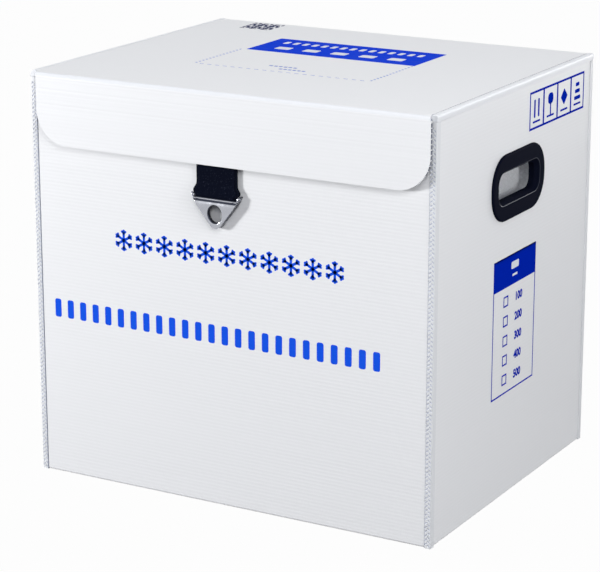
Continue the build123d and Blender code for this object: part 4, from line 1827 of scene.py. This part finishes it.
@dataclass
class ColdPacks:
    """Four gel packs with ribbed faces, and their knurled caps."""

    edge: float = 2.4 * MM
    frame_inset: float = 11.0 * MM
    panel_step: float = 1.6 * MM
    rib_pitch: float = 42.0 * MM
    rib: float = 5.0 * MM
    cap_radius: float = 9.0 * MM
    knurls: int = 24
    knurl: tuple[float, float] = mm(0.25, 0.35)
    cap_steps: tuple[tuple[float, float], ...] = ((0.5 * MM, 0.0), (0.9 * MM, -0.5 * MM))

    def build(self) -> None:
        """Build the packs and their caps."""
        for place in ("front", "back", "left", "right"):
            self.pack(f"cold_pack_{place}")
        self.caps()

    def pack(self, node: str) -> None:
        """Build one pack with sunk panels between ribs on both large faces.

        Args:
            node: The pack's node.
        """
        low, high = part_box(node)
        thin = Axis.Y if high.x - low.x > high.y - low.y else Axis.X
        shape = copy_of(node, self.edge, 4)
        count = int((high.z - low.z - 2 * self.frame_inset) / self.rib_pitch)
        for way in (-1.0, 1.0):
            face = shape.largest(thin, way)
            shape.inset([face], self.frame_inset)
            parts = [face]
            for k in range(1, count):
                flat = [f for f in shape.faces_to(thin, way, 0.999) if f in (*parts, face)]
                shape.cut(low.z + self.frame_inset + self.rib_pitch * k, Axis.Z, flat)
                flat = shape.faces_to(thin, way, 0.999)
                parts = [f for f in flat if self.is_inside(f, thin, low, high)]
            for step in range(2):
                shape.sink_each(parts, self.rib / 2, self.panel_step / 2)
        shape.piece(f"{node}_bottle", [GEL], "pack_plastic", "carton", [node])

    def is_inside(self, face: Face, thin: Axis, low: Vector, high: Vector) -> bool:
        """Tell whether a face lies within a pack's frame.

        Args:
            face: The face.
            thin: The axis of the pack's thickness.
            low: The pack's lowest corner.
            high: Its highest corner.

        Returns:
            Whether it does.
        """
        wide = Axis.X if thin is Axis.Y else Axis.Y
        reach = self.frame_inset - 0.1 * MM
        for vert in face.verts:
            if not low[wide.value] + reach < vert.co[wide.value] < high[wide.value] - reach:
                return False
            if not low.z + reach < vert.co.z:
                return False
        return True

    def caps(self) -> None:
        """Build the caps as ribbed cylinders with a rounded top."""
        low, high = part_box("cold_pack_caps")
        shape = Shape()
        for place in ("front", "back", "left", "right"):
            middle = sum(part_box(f"cold_pack_{place}"), Vector()) / 2
            middle.z = low.z + (high.z - low.z) / 2
            cap = Shape()
            cap.cylinder(Matrix.Translation(middle), self.cap_radius, high.z - low.z, 2 * self.knurls)
            cap.bm.normal_update()
            walls = [f for f in cap.bm.faces if abs(f.normal.z) < 0.1]
            walls.sort(key=lambda f: math.atan2(f.normal.y, f.normal.x))
            cap.sink_each(walls[::2], *self.knurl)
            top = max(cap.bm.faces, key=lambda f: f.calc_center_median().z)
            for inset, rise in self.cap_steps:
                cap.inset([top], inset, rise)
            shape.take(cap)
        shape.piece("knurled_caps", [CAP], "cap_plastic", "carton", ["cold_pack_caps"], crisp=50.0)


@dataclass
class FoamLid:
    """The lift-out foam lid with its pan, seal and webbing pulls."""

    edge: float = 2.5 * MM
    wrap_round: float = 2.0 * MM
    pan_round: float = 0.6 * MM
    seal_round: float = 0.9 * MM
    sag: float = 3.2 * MM
    pull_steps: int = 24
    pull_round: float = 0.6 * MM
    sewn_end: float = 16.0 * MM
    seam_inset: float = 3.0 * MM

    def build(self) -> None:
        """Build the lid's pieces."""
        panel = "foam_lid_vacuum_panel"
        body = "foam_lid"
        soften("foam_lid", "bead_foam_lid", (BEAD_FOAM, "foam"), body, self.edge, 4)
        soften(panel, "lid_vacuum_panel_wrapped", (FOIL, "barrier_film"), body, self.wrap_round, 4)
        soften("foam_lid_pan", "lid_pan", (LINER, "liner_plastic"), body, self.pan_round)
        soften("foam_lid_seal", "lid_seal", (SEAL, "seal_rubber"), body, self.seal_round, 4)
        for side in Side:
            self.pull(side)

    def pull(self, side: Side) -> None:
        """Build one webbing pull that sags into its groove.

        Args:
            side: Which of the two.
        """
        node = f"pull_loop_{side.word}"
        low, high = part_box(node)
        thickness = high.z - low.z
        middle = (low + high) / 2
        reach = (high.y - low.y) / 2
        groove = reach - self.sewn_end - 4.0 * MM
        line = []
        for k in range(self.pull_steps + 1):
            y = -reach + 2 * reach * k / self.pull_steps
            dip = self.sag * 0.5 * (1 + math.cos(math.pi * min(1.0, abs(y) / groove)))
            line.append((middle.y + y, middle.z - dip))
        half = (high.x - low.x) / 2
        shape = band(line, [half] * len(line), thickness, self.pull_round, middle.x)
        shape.piece(f"{node}_webbing", [LOOP_WEBBING], "loop_webbing", "foam_lid", [node], crisp=60.0)
        sewn = Stitching(Axis.Z.vector())
        inset = self.seam_inset
        for end in End:
            outer = middle.y + end.value * (reach - inset)
            inner = middle.y + end.value * (reach - self.sewn_end)
            first = Vector((low.x + inset, min(outer, inner), high.z))
            second = Vector((high.x - inset, max(outer, inner), high.z))
            sewn.rectangle(first, second, crossed=True)
        sewn.piece(f"{node}_stitching", THREAD_WHITE, "loop_webbing", "foam_lid")


# -------- prints
class Stencil:
    """Thin printed shapes on one flat face, drawn in the face's own right and up."""

    below = 0.12 * MM
    above = 0.05 * MM
    figure_share = 0.7
    figure_weight = 0.07
    fork_reach = 0.62
    fork_length = 0.42
    fork_offset = 0.36

    def __init__(self, node: str, out: Axis, way: float = 1.0, lift: float = 0.0) -> None:
        """Start an empty print on a board's face.

        Args:
            node: The board.
            out: The axis that the face is square to. Right and up are the other two.
            way: Which way the face looks along it.
            lift: How much it stands above a print that it lies on.
        """
        low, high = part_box(node)
        right, up = [axis.vector() for axis in Axis if axis is not out]
        level = high[out.value] if way > 0 else low[out.value]
        turn = Matrix((right, up, out.vector(way))).transposed().to_4x4()
        self.place = Matrix.Translation(out.vector(level)) @ turn
        self.shape = Shape()
        self.lift = lift

    def plate(
        self, u: float, v: float, width: float, height: float, radius: float = 0.0, turn: float = 0.0
    ) -> None:
        """Add a plate with rounded corners.

        Args:
            u: Its middle to the right.
            v: Its middle upwards.
            width: Its width.
            height: Its height.
            radius: The radius of its corners.
            turn: Its turn in radians.
        """
        part = Shape()
        face = part.rectangle(Vector(), Axis.X, Axis.Y, (width, height), radius)
        self.raise_faces(part, [face], Matrix.Translation((u, v, 0.0)) @ Matrix.Rotation(turn, 4, "Z"))

    def frame(self, u: float, v: float, width: float, height: float, line: float) -> None:
        """Add the outline of a rectangle.

        Args:
            u: Its middle to the right.
            v: Its middle upwards.
            width: Its outer width.
            height: Its outer height.
            line: How wide its line is.
        """
        part = Shape()
        face = part.rectangle(Vector(), Axis.X, Axis.Y, (width, height))
        face.normal_update()
        ring = part.inset([face], line)
        part.remove([face], keep_edges=True)
        self.raise_faces(part, ring, Matrix.Translation((u, v, 0.0)))

    def star(self, u: float, v: float, radius: float, line: float) -> None:
        """Add a plain star of three crossed strokes with forked ends.

        Args:
            u: Its middle to the right.
            v: Its middle upwards.
            radius: Half its size.
            line: How wide its strokes are.
        """
        reach = radius * self.fork_reach
        length = radius * self.fork_length
        offset = length * self.fork_offset
        for k in range(3):
            turn = math.pi / 2 + math.pi / 3 * k
            self.plate(u, v, 2 * radius, line, line * 0.35, turn)
            for way, fork in ((-1, -1), (-1, 1), (1, -1), (1, 1)):
                lean = turn + fork * math.pi / 4
                a = u + way * (reach * math.cos(turn) + offset * math.cos(lean))
                b = v + way * (reach * math.sin(turn) + offset * math.sin(lean))
                self.plate(a, b, length, line * 0.8, line * 0.25, lean)

    def number(self, text: str, u: float, v: float, height: float) -> None:
        """Add a plain number.

        Args:
            text: The number.
            u: Its left end.
            v: Its foot.
            height: The height of its figures.
        """
        curve = bpy.data.curves.new("number", "FONT")
        curve.body = text
        curve.size = height / self.figure_share
        curve.offset = height * self.figure_weight
        curve.resolution_u = 3
        holder = bpy.data.objects.new("number", curve)
        mesh = bpy.data.meshes.new_from_object(holder)
        part = Shape()
        part.bm.from_mesh(mesh)
        bpy.data.objects.remove(holder)
        bpy.data.curves.remove(curve)
        bpy.data.meshes.remove(mesh)
        part.join_close()
        self.raise_faces(part, list(part.bm.faces), Matrix.Translation((u, v, 0.0)))

    def raise_faces(self, part: Shape, faces: Sequence[Face], place: Matrix) -> None:
        """Give flat faces their thickness and put them on the face.

        Args:
            part: The flat shape.
            faces: Its faces.
            place: Where it goes in right and up.
        """
        part.move(part.bm.verts, Axis.Z.vector(-self.below))
        pushed = bmesh.ops.extrude_face_region(part.bm, geom=list(faces), use_keep_orig=True)["geom"]
        part.move(only(Vert, pushed), Axis.Z.vector(self.below + (self.above + self.lift)))
        part.outwards()
        bmesh.ops.transform(part.bm, matrix=self.place @ place, verts=part.bm.verts)
        self.shape.take(part)

    def piece(self, name: str, ink: Finish, body: str) -> None:
        """Finish the print as a piece."""
        self.shape.outwards()
        self.shape.piece(name, [ink], "hollow_board", body, crisp=30.0, weighted=False)


@dataclass
class FrontPrint:
    """A row of plain frost stars, and a bold band of upright bars below it."""

    star_row: tuple[float, float, float] = mm(-141.0, 143.0, 282.0)
    star_radius: float = 12.0 * MM
    star_line: float = 3.0 * MM
    stars: int = 11
    bar_row: tuple[float, float, float] = mm(-218.0, 196.0, 193.5)
    bar_pitch: float = 16.6 * MM
    bar_width: float = 8.2 * MM
    bar_height: float = 21.0 * MM
    bar_corner: float = 2.4 * MM

    def build(self) -> None:
        """Print both rows on the front panel."""
        ink = Stencil("front_panel", Axis.Y, -1.0)
        first, last, level = self.star_row
        step = (last - first - 2 * self.star_radius) / (self.stars - 1)
        for k in range(self.stars):
            ink.star(first + self.star_radius + step * k, level, self.star_radius, self.star_line)
        ink.piece("front_print_stars", INK_LIT_FRONT, "carton")
        ink = Stencil("front_panel", Axis.Y, -1.0)
        first, last, level = self.bar_row
        for k in range(int((last - first) / self.bar_pitch) + 1):
            u = first + self.bar_pitch * k
            ink.plate(u, level, self.bar_width, self.bar_height, self.bar_corner)
        ink.piece("front_print_bars", INK_LIT_FRONT, "carton")


@dataclass
class LidPrint:
    """A blue panel with two pale rows, a dotted frame below it and a small checked square."""

    panel: Edges = mm(-107.5, 106.0, 27.0, 107.0)
    label: Edges = mm(-113.0, 105.0, -75.0, 27.0)
    code: Edges = mm(-190.0, -149.0, 148.0, 187.0)
    lines: tuple[tuple[float, float, float], ...] = (
        mm(-16.0, -48.0, 36.0),
        mm(2.0, -60.0, 34.0),
    )
    dash_line: float = 1.2 * MM
    checks: int = 13
    check_share: float = 0.98
    over_print: float = 0.04 * MM
    mark_corner: float = 2.2 * MM

    def build(self) -> None:
        """Print on the lid."""
        self.blue_panel()
        self.dashed_frame()
        self.checked_square()

    def blue_panel(self) -> None:
        """The solid panel and its two rows of pale marks."""
        left, right, front, back = self.panel
        middle = (left + right) / 2
        blue = Stencil("lid_panel", Axis.Z)
        blue.plate(middle, (front + back) / 2, right - left, back - front)
        blue.piece("lid_print_panel", INK_SHADED_LID, "lid")
        marks = Stencil("lid_panel", Axis.Z, lift=self.over_print)
        for count, pitch, level, width, height in (
            (15, 12.3 * MM, 84.5 * MM, 6.4 * MM, 13.0 * MM),
            (5, 36.0 * MM, 52.0 * MM, 19.0 * MM, 14.0 * MM),
        ):
            for k in range(count):
                u = middle + (k - (count - 1) / 2) * pitch
                marks.plate(u, level, width, height, self.mark_corner)
        marks.piece("lid_print_marks", PAPER, "lid")

    def dashed_frame(self) -> None:
        """The dotted outline for a paper label, and two short lines in it."""
        left, right, front, back = self.label
        dots = Stencil("lid_panel", Axis.Z)
        middle = (front + back) / 2
        height = back - front
        for u, v, length, turn, dash, wide, pitch in (
            ((left + right) / 2, front, right - left, 0.0, 5.0 * MM, self.dash_line, 10.0 * MM),
            (left, middle, height, math.pi / 2, 2.6 * MM, 2 * self.dash_line, 7.2 * MM),
            (right, middle, height, math.pi / 2, 2.8 * MM, 2 * self.dash_line, 7.2 * MM),
        ):
            count = int(length / pitch)
            for k in range(count):
                along = (k + 0.5 - count / 2) * pitch
                dots.plate(u + along * math.cos(turn), v + along * math.sin(turn), dash, wide, 0.0, turn)
        for u, v, length in self.lines:
            for k in range(6):
                dots.plate(u + (k - 2.5) * length / 6, v, length / 6 * 0.7, 4.0 * MM, 0.8 * MM)
        dots.piece("lid_print_frame", INK_DOTS, "lid")

    def checked_square(self) -> None:
        """A square of plain checks."""
        left, right, front, back = self.code
        squares = Stencil("lid_panel", Axis.Z)
        width = (right - left) / self.checks
        height = (back - front) / self.checks
        share = self.check_share
        for row in range(self.checks):
            for column in range(self.checks):
                if (row * column + row + 2 * column) % 5 in (0, 2, 3):
                    u = left + width * (column + 0.5)
                    squares.plate(u, front + height * (row + 0.5), width * share, height * share)
        squares.piece("lid_print_checks", INK_DARK, "lid")


@dataclass
class SidePrint:
    """Four framed marks near the top of the right side, and a numbered tick list below."""

    cells: Edges = mm(26.0, 173.0, 400.0, 442.0)
    cell_line: float = 3.5 * MM
    table: Edges = mm(-55.5, 52.5, 118.3, 273.0)
    header: float = 34.5 * MM
    rows: int = 5
    table_line: float = 2.5 * MM
    box_size: float = 12.0 * MM
    box_line: float = 2.5 * MM
    figure: float = 8.6 * MM
    over_print: float = 0.04 * MM

    def build(self) -> None:
        """Print on the right side panel."""
        self.cell_frame()
        self.tick_list()

    def cell_frame(self) -> None:
        """Four cells in a frame: two bars, a cup on a stem, a diamond and three bars."""
        left, right, low, high = self.cells
        ink = Stencil("right_panel", Axis.X)
        middle = (low + high) / 2
        ink.frame((left + right) / 2, middle, right - left, high - low, self.cell_line)
        width = (right - left) / 4
        for k in range(1, 4):
            ink.plate(left + width * k, middle, self.cell_line, high - low - self.cell_line)
        foot = (0.0, -13.0, 19.0, 2.2, 0.6)
        marks = (
            [(-5.2, 1.5, 4.0, 20.0, 1.6), (5.2, 1.5, 4.0, 20.0, 1.6)],
            [(0.0, 6.0, 14.0, 12.0, 5.0), (0.0, -5.0, 3.0, 14.0, 1.0)],
            [(0.0, 1.5, 13.0, 13.0, 1.2, math.pi / 4)],
            [(0.0, 7.5 * row - 6.0, 17.0 - 3.5 * row, 4.2, 1.4) for row in range(3)],
        )
        for k, plates in enumerate(marks):
            for right_by, up_by, *size in (foot, *plates):
                u = left + width * (k + 0.5) + right_by * MM
                ink.plate(u, middle + up_by * MM, *mm(*size[:3]), *size[3:])
        ink.piece("side_print_cells", INK_SHADED_SIDE, "carton")

    def tick_list(self) -> None:
        """The list: a solid header with two pale bars, and numbered boxes to tick."""
        left, right, low, high = self.table
        ink = Stencil("right_panel", Axis.X)
        middle = (left + right) / 2
        width = right - left
        ink.frame(middle, (low + high) / 2, width, high - low, self.table_line)
        ink.plate(middle, high - self.header / 2, width - self.table_line, self.header)
        pitch = (high - low - self.header) / (self.rows + 0.45)
        for row in range(self.rows):
            level = high - self.header - pitch * (row + 0.7)
            ink.frame(left + width * 0.3, level, self.box_size, self.box_size, self.box_line)
            ink.number(str(100 * (row + 1)), left + width * 0.52, level - self.figure / 2, self.figure)
        ink.piece("side_print_list", INK_SHADED_SIDE, "carton")
        pale = Stencil("right_panel", Axis.X, lift=self.over_print)
        pale.plate(middle, high - self.header * 0.38, 19.0 * MM, 8.0 * MM, 1.8 * MM)
        pale.plate(middle, high - self.header * 0.7, 13.0 * MM, 2.6 * MM, 1.0 * MM)
        pale.piece("side_print_header", PAPER, "carton")


# -------- studio
@dataclass
class Studio:
    """Pale floor, white surround, soft lamps and the camera."""

    floor_half: float = 6.0
    floor_color: Point = (0.1, 0.1, 0.108)
    floor_white: float = 0.98
    ambient: Point = (0.11, 0.118, 0.138)
    middle: Point = (0.0, 0.0, 0.23)
    azimuth: float = math.radians(29.64)
    elevation: float = math.radians(15.96)
    camera_place: Point = (1.2329, -2.2058, 0.9228)
    lens: float = 139.07
    sensor: float = 36.0

    def build(self) -> None:
        """Set the plain display transform, and build floor, world, lamps and camera."""
        bpy.context.scene.view_settings.view_transform = "Standard"
        self.floor()
        self.world()
        self.lamps()
        self.camera()

    def lamps(self) -> None:
        """Soft square lamps that look at the object's middle: place, side in metres, watts."""
        middle = Vector(self.middle)
        for name, place, size, power in (
            ("key", (-1.9, -1.6, 0.38), 0.35, 44.5),
            ("front_fill", (0.7, -1.35, 1.1), 0.6, 9.0),
            ("right_fill", (1.8, -0.8, 0.6), 0.9, 12.6),
            ("far_right_fill", (3.0, -0.8, 0.5), 1.6, 10.4),
            ("top_fill", (-0.8, 0.6, 3.9), 3.0, 66.0),
            ("back_fill", (0.8, 2.9, 0.3), 1.0, 36.0),
        ):
            data = bpy.data.lights.new(name, "AREA")
            data.shape = "SQUARE"
            data.size = size
            data.energy = power
            lamp = bpy.data.objects.new(name, data)
            lamp.location = middle + Vector(place)
            lamp.rotation_euler = (-Vector(place)).to_track_quat("-Z", "Y").to_euler()
            bpy.context.scene.collection.objects.link(lamp)

    def seen(self, tree: bpy.types.NodeTree) -> Socket:
        """Tell what the eye sees from what only gives light.

        Args:
            tree: The node tree.

        Returns:
            1 for rays from the camera, and for mirrored and transmitted ones.
        """
        path = tree.nodes.new("ShaderNodeLightPath")
        total = path.outputs["Is Camera Ray"]
        for name in ("Is Glossy Ray", "Is Transmission Ray"):
            add = tree.nodes.new("ShaderNodeMath")
            add.operation = "ADD"
            add.use_clamp = True
            tree.links.new(total, add.inputs[0])
            tree.links.new(path.outputs[name], add.inputs[1])
            total = add.outputs[0]
        return total

    def floor(self) -> None:
        """A pale floor that shows white and keeps a light shadow."""
        shape = Shape()
        half = self.floor_half
        face = shape.rectangle(Vector(), Axis.X, Axis.Y, (2 * half, 2 * half))
        face.normal_update()
        mesh = bpy.data.meshes.new("floor")
        shape.bm.to_mesh(mesh)
        shape.bm.free()
        graph = Graph("studio_floor")
        graph.shader.inputs["Base Color"].default_value = (*self.floor_color, 1.0)
        graph.shader.inputs["Roughness"].default_value = 0.9
        white = graph.node("Emission", {"Strength": 1.0})
        share = graph.math("MULTIPLY", self.seen(graph.tree), self.floor_white)
        mixed = graph.node("MixShader", {0: share, 1: graph.shader.outputs[0], 2: white.outputs[0]})
        output = next(n for n in graph.tree.nodes if n.type == "OUTPUT_MATERIAL")
        graph.tree.links.new(mixed.outputs[0], output.inputs["Surface"])
        mesh.materials.append(graph.material)
        made = bpy.data.objects.new("floor", mesh)
        bpy.context.scene.collection.objects.link(made)

    def world(self) -> None:
        """A white surround, with a plainer light for the object."""
        world = bpy.data.worlds.new("studio")
        world.use_nodes = True
        tree = world.node_tree
        background = tree.nodes["Background"]
        mix = tree.nodes.new("ShaderNodeMix")
        mix.data_type = "RGBA"
        tree.links.new(self.seen(tree), mix.inputs[0])
        mix.inputs[6].default_value = (*self.ambient, 1.0)
        mix.inputs[7].default_value = (1.0, 1.0, 1.0, 1.0)
        tree.links.new(mix.outputs[2], background.inputs["Color"])
        bpy.context.scene.world = world

    def camera(self) -> None:
        """The camera, at its measured place and angle."""
        data = bpy.data.cameras.new("camera")
        data.sensor_width = self.sensor
        data.lens = self.lens
        level = math.cos(self.elevation)
        x, y = math.sin(self.azimuth) * level, -math.cos(self.azimuth) * level
        back = Vector((x, y, math.sin(self.elevation)))
        camera = bpy.data.objects.new("camera", data)
        camera.location = Vector(self.camera_place)
        camera.rotation_euler = (-back).to_track_quat("-Z", "Y").to_euler()
        bpy.context.scene.collection.objects.link(camera)
        bpy.context.scene.camera = camera


def main() -> None:
    """Build every sub-assembly in order, then the studio."""
    logging.basicConfig(level=logging.INFO, format="%(message)s")
    Carton().build()
    LidAndFlap().build()
    for side in Side:
        HandHold(side).build()
    FlapTapes().build()
    PullStrap().build()
    Clasp().build()
    Insulation().build()
    ColdPacks().build()
    FoamLid().build()
    FrontPrint().build()
    LidPrint().build()
    SidePrint().build()
    Studio().build()


if __name__ == "__main__":
    main()
